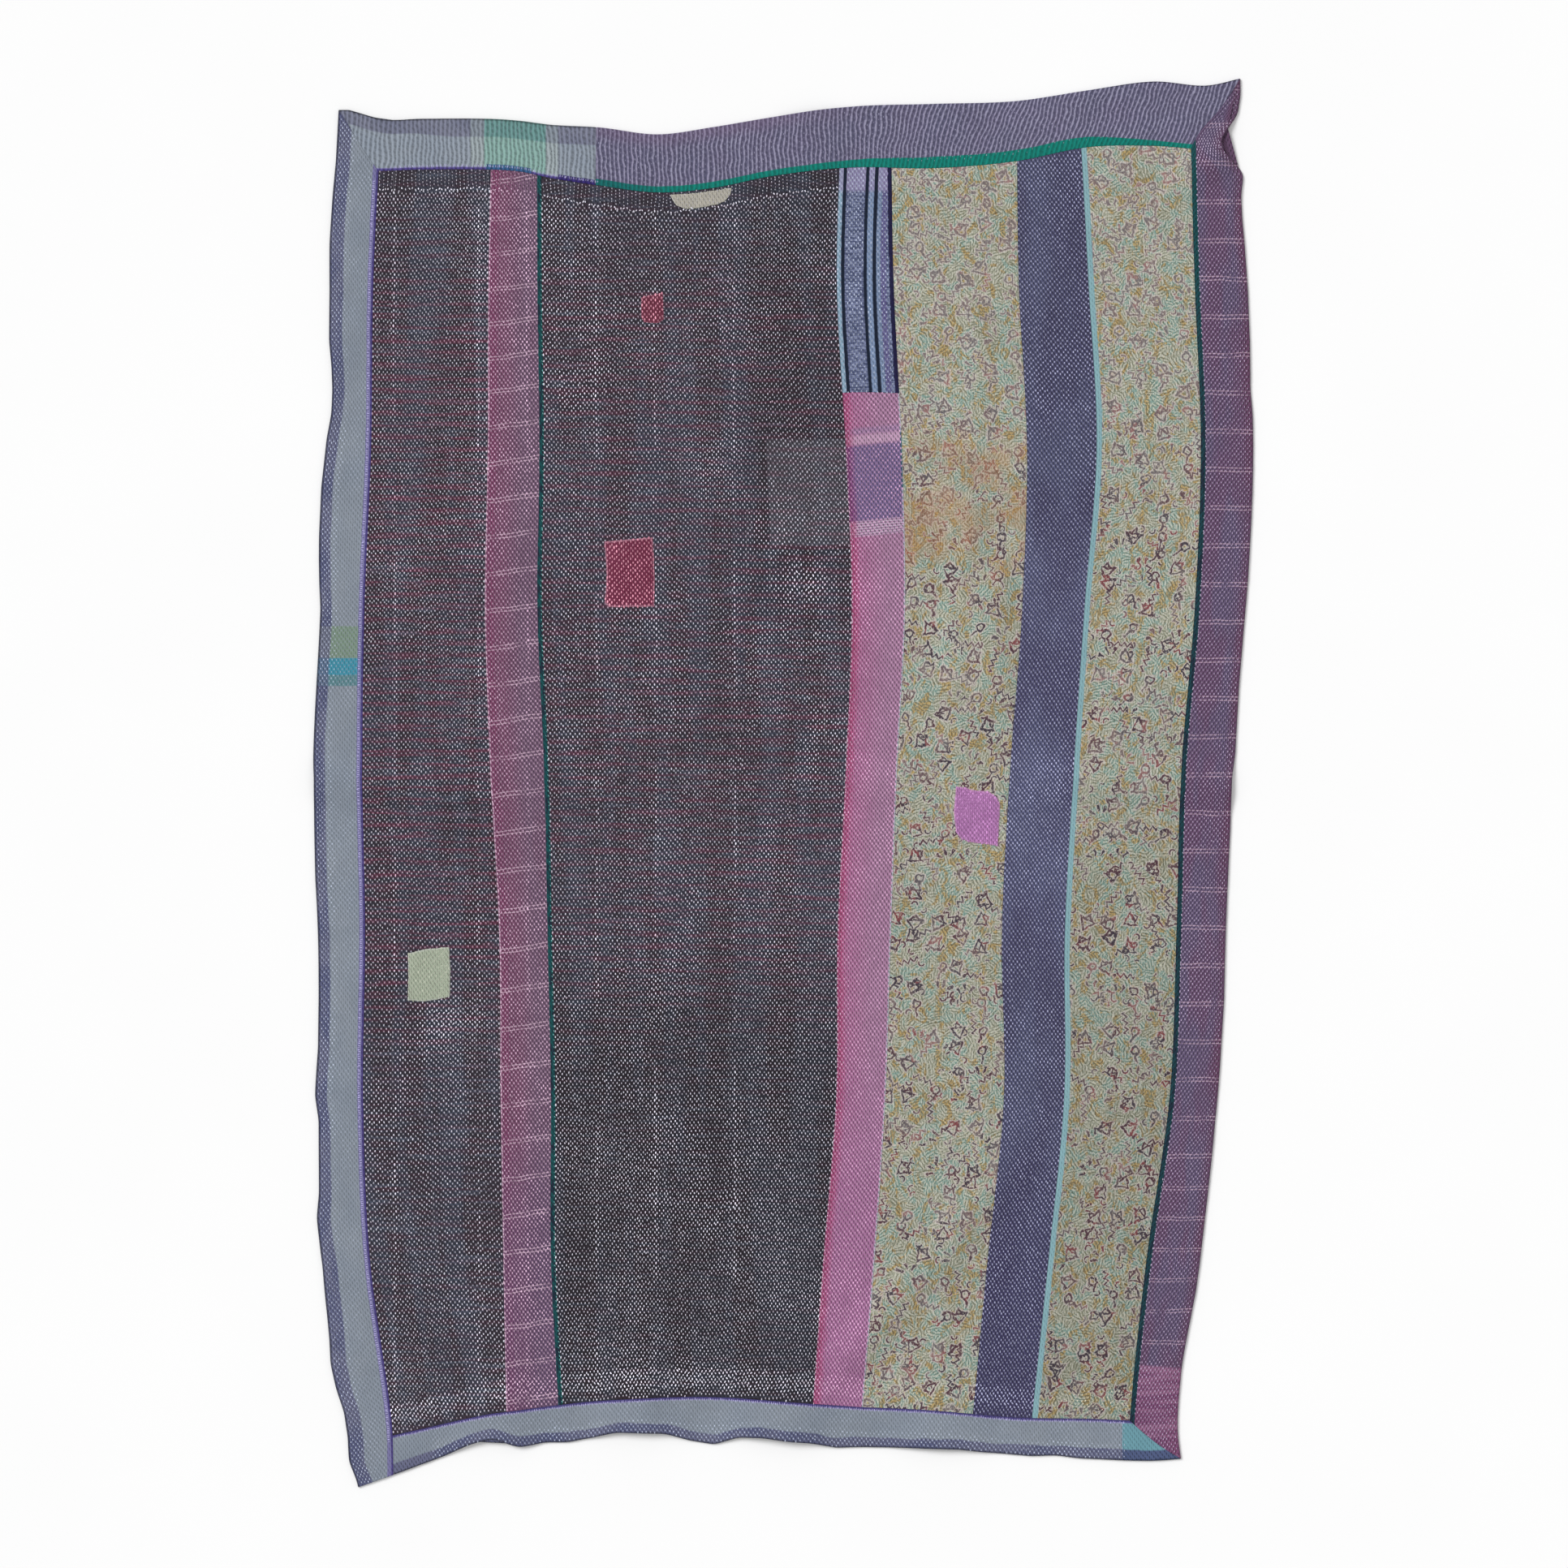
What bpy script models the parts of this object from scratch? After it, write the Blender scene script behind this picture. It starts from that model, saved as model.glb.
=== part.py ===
"""A kantha quilt, lying open and face up on a floor.

Old saris are laid over each other and held by running stitches. The quilt is
built the way it is sewn: one stitched body of cloth layers, the pieces of sari
cloth that face it, side by side, the border strips that fold over its rim down
to the floor, and the small patches on top. All sizes are in millimetres here
and become metres when the points are placed. +Z is up, +Y runs along the
length towards the top hem, and the origin lies under the middle of the quilt.
"""
from collections import namedtuple

import bmesh
import bpy
from mathutils import Vector

MM = 0.001

# Thicknesses and gaps
BODY_THICK = 1.8
FACE_THICK = 0.9
PATCH_THICK = 0.8
HEM_THICK = 1.2
LAYER_GAP = 0.3
SEAM_GAP = 0.4
HEM_ROUND = 0.8
FACE_LOW = BODY_THICK + LAYER_GAP
FACE_TOP = FACE_LOW + FACE_THICK
PATCH_LOW = FACE_TOP + LAYER_GAP

# Cells across each strip from left to right, and along each band upwards.
# A border has a narrow cell at its rim, the folded hem, and two wide ones.
STRIP_CELLS = (3, 4, 2, 11, 2, 5, 2, 4, 3)
BAND_CELLS = (3, 38, 8, 3)
HEM_CELLS = 3
TOP_STRIP_CELLS = 2  # how far the pale top strip runs above the wide dark panel
BLUE_JOINT = 0.8185  # where the blue striped cloth meets the rose, as a share of the field

# The long seams. Each row is a height on the quilt, with where each line lies.
SEAM_LINES = ("left_edge", "left_hem", "plum", "dark", "rose", "print", "indigo", "narrow",
              "right_hem", "right_edge")
SEAM_TABLE = (
    (1045, -655, -590, -432, -356, 84, 156, 342, 432, 598, 674),
    (979, -659, -595, -432, -358, 84, 158, 344, 437, 600, 676),
    (739, -671, -607, -437, -358, 78, 162, 347, 450, 607, 686),
    (499, -676, -610, -438, -355, 91, 174, 359, 462, 616, 696),
    (259, -684, -620, -442, -358, 100, 179, 352, 444, 607, 685),
    (19, -695, -623, -434, -348, 91, 167, 334, 428, 587, 668),
    (-221, -690, -619, -421, -343, 79, 158, 322, 415, 580, 653),
    (-461, -694, -622, -419, -338, 77, 150, 325, 414, 570, 643),
    (-701, -685, -612, -415, -338, 58, 134, 301, 391, 536, 618),
    (-941, -650, -580, -410, -326, 41, 115, 278, 366, 511, 586),
    (-1045, -628, -577, -408, -322, 34, 108, 268, 356, 510, 594),
)

# The cross edges. Each row is a place across the quilt.
CROSS_LINES = ("bottom_edge", "bottom_hem", "top_hem", "top_edge")
CROSS_TABLE = (
    (-643, -1044, -977, 905, 996),
    (-589, -1025, -965, 906, 982),
    (-535, -1006, -953, 908, 983),
    (-439, -977, -931, 908, 983),
    (-391, -982, -925, 905, 980),
    (-343, -974, -919, 895, 974),
    (-271, -966, -911, 884, 970),
    (-187, -967, -906, 874, 960),
    (-103, -971, -906, 881, 971),
    (-19, -976, -910, 898, 985),
    (101, -983, -920, 911, 1001),
    (221, -988, -925, 910, 1005),
    (341, -993, -936, 920, 1009),
    (449, -998, -938, 941, 1025),
    (545, -1001, -942, 943, 1038),
    (623, -995, -943, 937, 1032),
    (677, -995, -943, 936, 1043),
)

# The pinch in the right rim under the pulled-out top corner
PINCH_HEIGHT = 946
PINCH_DEPTH = 18
PINCH_HALF = 50

# The folds in which it lies: a ridge from start to end, its height at each end
# and its half width.
Fold = namedtuple("Fold", "start_x start_y end_x end_y start_high end_high half_wide")
FOLDS = {
    "pressed_middle_left": Fold(-700, 6, 160, 0, 5, 3, 46),
    "pressed_middle_right": Fold(395, 2, 690, -4, 4, 5, 46),
    "pressed_upper": Fold(-91, 148, 113, 148, 3, 2, 44),
    "hem_wave_first": Fold(-430, -1000, -418, -800, 7, 2, 80),
    "hem_wave_second": Fold(-217, -1000, -200, -640, 10, 2, 90),
    "hem_wave_third": Fold(-7, -1000, 0, -660, 11, 2, 95),
    "hem_wave_fourth": Fold(232, -1010, 240, -800, 8, 2, 90),
    "dragged_print": Fold(94, -844, 292, -625, 7, 5, 48),
    "slanting_top": Fold(182, 737, 332, 628, 6, 4, 44),
    "slanting_lower": Fold(196, 505, 346, 464, 5, 3, 42),
    "print_crease_long": Fold(281, 703, 263, 150, 3, 4, 42),
    "print_crease_short": Fold(311, 300, 311, 130, 5, 4, 40),
    "pinched_corner": Fold(655, 950, 590, 888, 8, 3, 42),
    "top_wave": Fold(35, 1000, 42, 925, 5, 2, 70),
}

# Small patches: their corners, going round, on the quilt
PATCHES = {
    "patch_red_small": ((-211, 719), (-179, 726), (-177, 686), (-186, 681), (-206, 682),
                        (-211, 689)),
    "patch_red_large": ((-265, 358), (-194, 365), (-191, 303), (-192, 262), (-258, 261),
                        (-265, 267), (-262, 308)),
    "patch_cream": ((-555, -250), (-528, -244), (-495, -241), (-493, -275), (-494, -315),
                    (-531, -321), (-556, -320), (-555, -286)),
    "patch_orchid": ((254, -4), (269, -5), (277, -9), (302, -11), (315, -20), (319, -30),
                     (318, -55), (316, -91), (292, -88), (275, -86), (262, -81), (254, -71),
                     (251, -43)),
    "patch_cream_top": ((-168, 870), (-164, 862), (-159, 855), (-146, 850), (-135, 850),
                        (-118, 853), (-97, 857), (-88, 861), (-80, 870), (-78, 881),
                        (-101, 877), (-122, 874), (-141, 872)),
}

# Colour of each cloth, as on a screen from 0 to 255
COLOURS = {
    "quilt_body": (90, 86, 100),
    "panel_dark_left": (92, 86, 96),
    "strip_plum": (128, 103, 126),
    "panel_dark_wide": (88, 84, 97),
    "strip_blue_striped": (109, 117, 144),
    "strip_rose": (157, 113, 145),
    "panel_print_wide": (152, 147, 132),
    "strip_indigo": (85, 85, 112),
    "panel_print_narrow": (145, 142, 131),
    "border_left": (125, 132, 148),
    "border_bottom": (122, 133, 154),
    "border_top_left": (125, 130, 145),
    "border_top_right": (107, 109, 131),
    "border_right": (110, 96, 121),
    "patch_red_small": (125, 72, 88),
    "patch_red_large": (130, 76, 95),
    "patch_cream": (162, 171, 152),
    "patch_orchid": (168, 118, 168),
    "patch_cream_top": (156, 155, 148),
}
CLOTH_ROUGHNESS = 0.9

ACROSS = sum(STRIP_CELLS)
ALONG = sum(BAND_CELLS)
STRIP_STARTS = [sum(STRIP_CELLS[:i]) for i in range(len(STRIP_CELLS) + 1)]
BLUE_ROW = sum(BAND_CELLS[:2])
FIELD_STRIPS = ("panel_dark_left", "strip_plum", "panel_dark_wide", "strip_rose",
                "panel_print_wide", "strip_indigo", "panel_print_narrow")
TOP_STRIP_END = STRIP_STARTS[FIELD_STRIPS.index("panel_dark_wide") + 1] + TOP_STRIP_CELLS
BORDERS = ("border_left", "border_bottom", "border_top_left", "border_top_right", "border_right")


def read_table(rows, column, at):
    """One column of a table at a place between its rows, on a smooth curve through them."""
    rows = sorted(rows)
    last = len(rows) - 2
    i = 0
    while i < last and at > rows[i + 1][0]:
        i += 1
    before = rows[max(i - 1, 0)]
    start = rows[i]
    end = rows[i + 1]
    after = rows[min(i + 2, len(rows) - 1)]
    span = end[0] - start[0]
    slope_start = (end[column] - before[column]) / (end[0] - before[0])
    slope_end = (after[column] - start[column]) / (after[0] - start[0])
    share = min(max((at - start[0]) / span, 0.0), 1.0)
    rest = 1.0 - share
    return (
        rest * rest * (1 + 2 * share) * start[column]
        + share * share * (3 - 2 * share) * end[column]
        + span * share * rest * (rest * slope_start - share * slope_end)
    )


def bump(distance, half_width):
    """A smooth hump of height 1 that ends level at its half width."""
    share = min(abs(distance) / half_width, 1.0)
    return (1.0 - share * share) ** 2


def seam_x(line, height):
    """Where a long seam lies across the quilt at this height."""
    across = read_table(SEAM_TABLE, SEAM_LINES.index(line) + 1, height)
    if line == "right_edge":
        across -= PINCH_DEPTH * bump(height - PINCH_HEIGHT, PINCH_HALF)
    return across


def cross_y(line, across):
    """How high a cross edge lies at this place across the quilt."""
    return read_table(CROSS_TABLE, CROSS_LINES.index(line) + 1, across)


def lift(x, y):
    """How far the folds raise the cloth off the floor."""
    height = 0.0
    for fold in FOLDS.values():
        start = Vector((fold.start_x, fold.start_y))
        run = Vector((fold.end_x, fold.end_y)) - start
        share = (Vector((x, y)) - start).dot(run) / run.length_squared
        share = min(max(share, 0.0), 1.0)
        away = (Vector((x, y)) - start - run * share).length
        high = fold.start_high + (fold.end_high - fold.start_high) * share
        height += high * bump(away, fold.half_wide)
    return height


def ladder(lines, spans, cells, hem):
    """The grid's lines, each as (line before, line after, share between them, shift).

    The rim, the hem's fold, the middle of the border, the field, and back out.
    """
    first, second = lines[:2]
    inner, last = lines[-2:]
    steps = [(first, first, 0.0, 0.0), (first, first, 0.0, hem), (first, second, 0.5, 0.0)]
    for (before, after, low, high), count in zip(spans, cells[1:-1]):
        steps += [(before, after, low + (high - low) * i / count, 0.0) for i in range(count)]
    steps += [(inner, inner, 0.0, 0.0), (inner, last, 0.5, 0.0)]
    steps += [(last, last, 0.0, -hem), (last, last, 0.0, 0.0)]
    return steps


def columns(hem):
    """The grid's columns: each strip lies between two long seams."""
    spans = [(before, after, 0.0, 1.0) for before, after in zip(SEAM_LINES[1:], SEAM_LINES[2:-1])]
    return ladder(SEAM_LINES, spans, STRIP_CELLS, hem)


def rows(hem):
    """The grid's rows: two bands share the field, parted at the blue joint."""
    spans = [("bottom_hem", "top_hem", 0.0, BLUE_JOINT), ("bottom_hem", "top_hem", BLUE_JOINT, 1.0)]
    return ladder(CROSS_LINES, spans, BAND_CELLS, hem)


def crossing(column, row):
    """Where a column meets a row, in millimetres, found by closing in on it."""
    x = 0.0
    y = 0.0
    for _ in range(12):
        low = cross_y(row[0], x)
        y = low + (cross_y(row[1], x) - low) * row[2] + row[3]
        left = seam_x(column[0], y)
        x = left + (seam_x(column[1], y) - left) * column[2] + column[3]
    return Vector((x, y))


def crossings(hem):
    """Every crossing of the grid, by its column and row number."""
    down = rows(hem)
    return {(u, v): crossing(column, row)
            for u, column in enumerate(columns(hem)) for v, row in enumerate(down)}


def piece_at(u, v):
    """The name of the cloth that faces this place of the grid."""
    to_left = u
    to_right = ACROSS - u
    to_bottom = v
    to_top = ALONG - v
    nearest = min(to_left, to_right, to_bottom, to_top)
    if nearest >= HEM_CELLS:
        strip = [u > start for start in STRIP_STARTS[1:-2]].count(True) - 1
        if FIELD_STRIPS[strip] == "strip_rose" and v > BLUE_ROW:
            return "strip_blue_striped"
        return FIELD_STRIPS[strip]
    if to_left == nearest or to_left < HEM_CELLS and to_bottom < HEM_CELLS:
        return "border_left"
    if to_right == nearest:
        return "border_right"
    if to_bottom == nearest:
        return "border_bottom"
    if u < TOP_STRIP_END:
        return "border_top_left"
    return "border_top_right"


def in_hem(u, v):
    """Whether a place of the grid is in the rim that folds down to the floor."""
    return min(u, v, ACROSS - u, ALONG - v) < 1


def on_rim(point):
    """Whether a grid crossing lies on the quilt's outline."""
    return round(point.x) in (0, ACROSS) or round(point.y) in (0, ALONG)


def flat_pattern(keep):
    """The part of the grid that one piece of cloth is cut from, as triangles."""
    mesh = bmesh.new()
    bmesh.ops.create_grid(mesh, x_segments=ACROSS, y_segments=ALONG, size=1.0)
    for vert in mesh.verts:
        vert.co.x = round((vert.co.x + 1) / 2 * ACROSS)
        vert.co.y = round((vert.co.y + 1) / 2 * ALONG)
    for face in list(mesh.faces):
        middle = face.calc_center_median()
        left = middle.x < HEM_CELLS
        bottom = middle.y < HEM_CELLS
        right = middle.x > ACROSS - HEM_CELLS
        top = middle.y > ALONG - HEM_CELLS
        falling = left and top or right and bottom
        slant = -1 if falling else 1
        corners = sorted(face.verts, key=lambda vert: vert.co.x + slant * vert.co.y)
        bmesh.utils.face_split(face, corners[0], corners[-1])
    unwanted = []
    for face in mesh.faces:
        middle = face.calc_center_median()
        if not keep(middle.x, middle.y):
            unwanted.append(face)
    bmesh.ops.delete(mesh, geom=unwanted, context="FACES")
    return mesh


def seam_allowances(mesh, places):
    """How far each crossing on a seam draws in, so that neighbours stay apart."""
    moves = {}
    for edge in mesh.edges:
        if not edge.is_boundary or all(on_rim(vert.co) for vert in edge.verts):
            continue
        keys = [(round(vert.co.x), round(vert.co.y)) for vert in edge.verts]
        start, end = (places[key] for key in keys)
        face = edge.link_faces[0]
        middle = sum((places[(round(v.co.x), round(v.co.y))] for v in face.verts), Vector((0, 0))) / 3
        across = Vector((start.y - end.y, end.x - start.x)).normalized()
        if across.dot(middle - start) < 0:
            across.negate()
        for key in keys:
            moves.setdefault(key, []).append(across)
    drawn = {}
    for key, ways in moves.items():
        way = sum(ways, Vector((0, 0))).normalized()
        drawn[key] = way * (SEAM_GAP / 2) / max(way.dot(ways[0]), 0.5)
    return drawn


def cloth(name, keep, places, heights, hem=False):
    """A piece of cloth: its pattern given thickness, laid on the folds.

    The mesh is first raised in steps, one for each of the heights, and its points
    are then placed. With a hem, the rim also reaches down to the floor.
    """
    mesh = flat_pattern(keep)
    drawn = seam_allowances(mesh, places)
    low = len(heights) - 2
    for vert in mesh.verts:
        vert.co.z = low
    raised = bmesh.ops.extrude_face_region(mesh, geom=mesh.faces[:])
    for item in raised["geom"]:
        if isinstance(item, bmesh.types.BMVert):
            item.co.z = low + 1
    if hem:
        rim = []
        for face in mesh.faces:
            middle = face.calc_center_median()
            if middle.z < low + 0.1 and in_hem(middle.x, middle.y):
                rim.append(face)
        lowered = bmesh.ops.extrude_face_region(mesh, geom=rim)
        for item in lowered["geom"]:
            if isinstance(item, bmesh.types.BMVert):
                item.co.z = 0
        bmesh.ops.delete(mesh, geom=[face for face in rim if face.is_valid], context="FACES_ONLY")
    for vert in mesh.verts:
        key = (round(vert.co.x), round(vert.co.y))
        place = places[key]
        z = heights[round(vert.co.z)] + lift(place.x, place.y)
        if hem and round(vert.co.z) == low + 1 and on_rim(vert.co):
            z -= HEM_ROUND
        place = place + drawn.get(key, Vector((0, 0)))
        vert.co = Vector((place.x - MIDDLE.x, place.y - MIDDLE.y, z)) * MM
    bmesh.ops.recalc_face_normals(mesh, faces=mesh.faces[:])
    data = bpy.data.meshes.new(name)
    mesh.to_mesh(data)
    mesh.free()
    finish(name, bpy.data.objects.new(name, data))


def patch(name, corners):
    """A small flat patch: its outline filled and given thickness."""
    curve = bpy.data.curves.new(name, "CURVE")
    curve.dimensions = "2D"
    curve.fill_mode = "BOTH"
    curve.extrude = PATCH_THICK / 2 * MM
    middle = sum((Vector(corner) for corner in corners), Vector((0, 0))) / len(corners)
    outline = curve.splines.new("POLY")
    outline.points.add(len(corners) - 1)
    for point, corner in zip(outline.points, corners):
        point.co = ((corner[0] - middle.x) * MM, (corner[1] - middle.y) * MM, 0, 1)
    outline.use_cyclic_u = True
    made = bpy.data.objects.new(name, curve)
    place = middle - MIDDLE
    made.location = Vector((place.x, place.y, PATCH_LOW + PATCH_THICK / 2)) * MM
    finish(name, made)


def cloth_material(name):
    """A matte cotton of the piece's own colour."""
    material = bpy.data.materials.new(name)
    material.use_nodes = True
    shader = material.node_tree.nodes["Principled BSDF"]
    screen = [value / 255 for value in COLOURS[name]]
    light = [((value + 0.055) / 1.055) ** 2.4 for value in screen]
    shader.inputs["Base Color"].default_value = (*light, 1.0)
    shader.inputs["Roughness"].default_value = CLOTH_ROUGHNESS
    shader.inputs["Metallic"].default_value = 0.0
    return material


def finish(name, made):
    """Give a piece its material, and hang it under the quilt's empty."""
    made.data.materials.append(cloth_material(name))
    collection.objects.link(made)
    made.parent = quilt


for old in list(bpy.data.objects):
    bpy.data.objects.remove(old)
collection = bpy.data.collections.new("kantha_quilt")
bpy.context.scene.collection.children.link(collection)
quilt = bpy.data.objects.new("quilt", None)
collection.objects.link(quilt)

face_places = crossings(HEM_THICK)
body_places = crossings(HEM_THICK + LAYER_GAP)
all_x = [place.x for place in face_places.values()]
all_y = [place.y for place in face_places.values()]
MIDDLE = Vector(((min(all_x) + max(all_x)) / 2, (min(all_y) + max(all_y)) / 2))

cloth("quilt_body", lambda u, v: not in_hem(u, v), body_places, (0.0, BODY_THICK))
for piece in FIELD_STRIPS + ("strip_blue_striped",):
    cloth(piece, lambda u, v: piece_at(u, v) == piece, face_places, (FACE_LOW, FACE_TOP))
for piece in BORDERS:
    cloth(piece, lambda u, v: piece_at(u, v) == piece, face_places, (0.0, FACE_LOW, FACE_TOP),
          hem=True)
for piece, corners in PATCHES.items():
    patch(piece, corners)
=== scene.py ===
# %% [markdown]
# # A kantha quilt
# Old saris are laid in a stack, faced with strips of sari cloth, bound with
# border strips and held together by thousands of running stitches. It lies
# open on a pale floor, seen from straight above. This file dresses the plain
# solids of the quilt: each cloth becomes a thin finely woven sheet, and the
# stitches become small raised threads.

import bpy
import numpy as np
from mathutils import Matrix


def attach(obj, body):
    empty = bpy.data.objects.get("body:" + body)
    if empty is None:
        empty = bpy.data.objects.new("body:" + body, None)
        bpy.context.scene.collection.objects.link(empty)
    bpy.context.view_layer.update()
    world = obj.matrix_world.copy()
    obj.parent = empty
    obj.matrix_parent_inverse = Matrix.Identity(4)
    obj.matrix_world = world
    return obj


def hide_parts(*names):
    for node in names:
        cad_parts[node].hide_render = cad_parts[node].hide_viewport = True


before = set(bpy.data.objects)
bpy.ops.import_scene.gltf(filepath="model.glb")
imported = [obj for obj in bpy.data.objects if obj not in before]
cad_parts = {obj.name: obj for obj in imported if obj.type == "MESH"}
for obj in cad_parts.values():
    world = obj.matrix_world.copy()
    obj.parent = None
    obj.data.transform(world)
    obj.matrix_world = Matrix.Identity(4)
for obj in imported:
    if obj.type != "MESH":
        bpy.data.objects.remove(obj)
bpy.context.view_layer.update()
MM = 0.001

# %% [markdown]
# ## The lie of the quilt
# The seams of a hand-made quilt wander. The solids were laid out from two small
# tables, of the long seams and of the cross edges, with a smooth curve through
# each column. The same tables are used here, so that every finely meshed cloth
# lies exactly where its solid does. Sizes are in millimetres, before the quilt
# is centred on the origin.

# %% The tables of the seams
SEAM_LINES = ("left_edge", "left_hem", "plum", "dark", "rose", "print", "indigo", "narrow",
              "right_hem", "right_edge")
SEAM_TABLE = (
    (1045, -655, -590, -432, -356, 84, 156, 342, 432, 598, 674),
    (979, -659, -595, -432, -358, 84, 158, 344, 437, 600, 676),
    (739, -671, -607, -437, -358, 78, 162, 347, 450, 607, 686),
    (499, -676, -610, -438, -355, 91, 174, 359, 462, 616, 696),
    (259, -684, -620, -442, -358, 100, 179, 352, 444, 607, 685),
    (19, -695, -623, -434, -348, 91, 167, 334, 428, 587, 668),
    (-221, -690, -619, -421, -343, 79, 158, 322, 415, 580, 653),
    (-461, -694, -622, -419, -338, 77, 150, 325, 414, 570, 643),
    (-701, -685, -612, -415, -338, 58, 134, 301, 391, 536, 618),
    (-941, -650, -580, -410, -326, 41, 115, 278, 366, 511, 586),
    (-1045, -628, -577, -408, -322, 34, 108, 268, 356, 510, 594),
)
CROSS_LINES = ("bottom_edge", "bottom_hem", "top_hem", "top_edge")
CROSS_TABLE = (
    (-643, -1044, -977, 905, 996),
    (-589, -1025, -965, 906, 982),
    (-535, -1006, -953, 908, 983),
    (-439, -977, -931, 908, 983),
    (-391, -982, -925, 905, 980),
    (-343, -974, -919, 895, 974),
    (-271, -966, -911, 884, 970),
    (-187, -967, -906, 874, 960),
    (-103, -971, -906, 881, 971),
    (-19, -976, -910, 898, 985),
    (101, -983, -920, 911, 1001),
    (221, -988, -925, 910, 1005),
    (341, -993, -936, 920, 1009),
    (449, -998, -938, 941, 1025),
    (545, -1001, -942, 943, 1038),
    (623, -995, -943, 937, 1032),
    (677, -995, -943, 936, 1043),
)
PINCH_HEIGHT, PINCH_DEPTH, PINCH_HALF = 946, 18, 50
# How the rims wander within the solids' smoother lines: place, then how far right or up
RIM_WAVERS = {
    "left_edge": ((-1030, 0), (-1001, -5), (-965, 1), (-929, 2), (-893, -4), (-857, -6),
                  (-821, -2), (-785, 0), (-713, 2), (-641, -1), (-605, 4), (-569, 5),
                  (-497, 6), (-461, 1), (-389, 5), (-317, 4), (-245, 2), (-137, -1), (7, 1),
                  (43, -1), (259, -1), (295, -4), (331, -6), (367, -7), (439, -6), (511, 0),
                  (547, 6), (583, 7), (619, 5), (655, 1), (727, 0), (799, -3), (870, -2),
                  (920, 0)),
    "right_edge": ((-1000, -2), (-929, -5), (-857, -7), (-821, -6), (-749, -3), (-500, -3),
                   (-380, -1), (-317, 1), (-245, 0), (-65, -3), (7, -6), (43, -3), (150, -5),
                   (223, -4), (300, -2), (547, -3), (583, -5), (655, -2), (727, -1),
                   (799, -3), (835, -5), (871, -5), (895, -1), (907, -1), (925, -7),
                   (943, -14), (961, -11), (979, -7), (1020, 0)),
    "bottom_edge": ((-560, 0), (-499, 2), (-463, 7), (-427, 9), (-391, 3), (-355, 3),
                    (-319, -2), (-283, 1), (-247, 8), (-175, 8), (-139, -1), (-103, -5),
                    (-67, 8), (-31, 10), (5, 7), (41, 6), (77, 1), (113, 4), (185, 6),
                    (257, 7), (293, 4), (365, 1), (401, 4), (437, 1), (560, 1)),
}
# Each fold: start x and y, end x and y, height at either end, half width
FOLDS = (
    (-700, 6, 160, 0, 5, 3, 46),
    (395, 2, 690, -4, 4, 5, 46),
    (-91, 148, 113, 148, 3, 2, 44),
    (-430, -1000, -418, -800, 7, 2, 80),
    (-217, -1000, -200, -640, 10, 2, 90),
    (-7, -1000, 0, -660, 11, 2, 95),
    (232, -1010, 240, -800, 8, 2, 90),
    (94, -844, 292, -625, 7, 5, 48),
    (182, 737, 332, 628, 6, 4, 44),
    (196, 505, 346, 464, 5, 3, 42),
    (281, 703, 263, 150, 3, 4, 42),
    (311, 300, 311, 130, 5, 4, 40),
    (655, 950, 590, 888, 8, 3, 42),
    (35, 1000, 42, 925, 5, 2, 70),
)
PATCHES = {
    "patch_red_small": ((-211, 719), (-179, 726), (-177, 686), (-186, 681), (-206, 682),
                        (-211, 689)),
    "patch_red_large": ((-265, 358), (-194, 365), (-191, 303), (-192, 262), (-258, 261),
                        (-265, 267), (-262, 308)),
    "patch_cream": ((-555, -250), (-528, -244), (-495, -241), (-493, -275), (-494, -315),
                    (-531, -321), (-556, -320), (-555, -286)),
    "patch_orchid": ((254, -4), (269, -5), (277, -9), (302, -11), (315, -20), (319, -30),
                     (318, -55), (316, -91), (292, -88), (275, -86), (262, -81), (254, -71),
                     (251, -43)),
    "patch_cream_top": ((-168, 870), (-164, 862), (-159, 855), (-146, 850), (-135, 850),
                        (-118, 853), (-97, 857), (-88, 861), (-80, 870), (-78, 881),
                        (-101, 877), (-122, 874), (-141, 872)),
}

# %% [markdown]
# A grid of cells runs over the quilt. Column lines follow the long seams and
# row lines follow the cross edges, so a cloth is simply a rectangle of cells.
# A place on the grid is turned into millimetres by closing in on the crossing
# of its two lines. NumPy does this for a whole cloth at once, because a loop
# over a hundred thousand points would be slow.

# %% From a place on the grid to millimetres
STRIP_CELLS = (3, 4, 2, 11, 2, 5, 2, 4, 3)
BAND_CELLS = (3, 38, 8, 3)
BLUE_JOINT = 0.8185
HEM_THICK = 1.2
ACROSS, ALONG = sum(STRIP_CELLS), sum(BAND_CELLS)
STARTS = [sum(STRIP_CELLS[:i]) for i in range(len(STRIP_CELLS) + 1)]
BLUE_ROW = sum(BAND_CELLS[:2])
REACH_X, REACH_Y = 760, 1160


def read_table(rows, column, at):
    """One column of a table, on a smooth curve through its rows."""
    rows = np.array(sorted(rows), float)
    places, values = rows[:, 0], rows[:, column]
    slopes = np.empty(len(rows))
    slopes[1:-1] = (values[2:] - values[:-2]) / (places[2:] - places[:-2])
    slopes[0] = (values[1] - values[0]) / (places[1] - places[0])
    slopes[-1] = (values[-1] - values[-2]) / (places[-1] - places[-2])
    i = np.clip(np.searchsorted(places, at) - 1, 0, len(rows) - 2)
    span = places[i + 1] - places[i]
    share = np.clip((at - places[i]) / span, 0, 1)
    rest = 1 - share
    return (rest * rest * (1 + 2 * share) * values[i]
            + share * share * (3 - 2 * share) * values[i + 1]
            + span * share * rest * (rest * slopes[i] - share * slopes[i + 1]))


def bump(distance, half_width):
    """A smooth hump of height 1 that ends level at its half width."""
    return (1 - np.minimum(np.abs(distance) / half_width, 1) ** 2) ** 2


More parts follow.
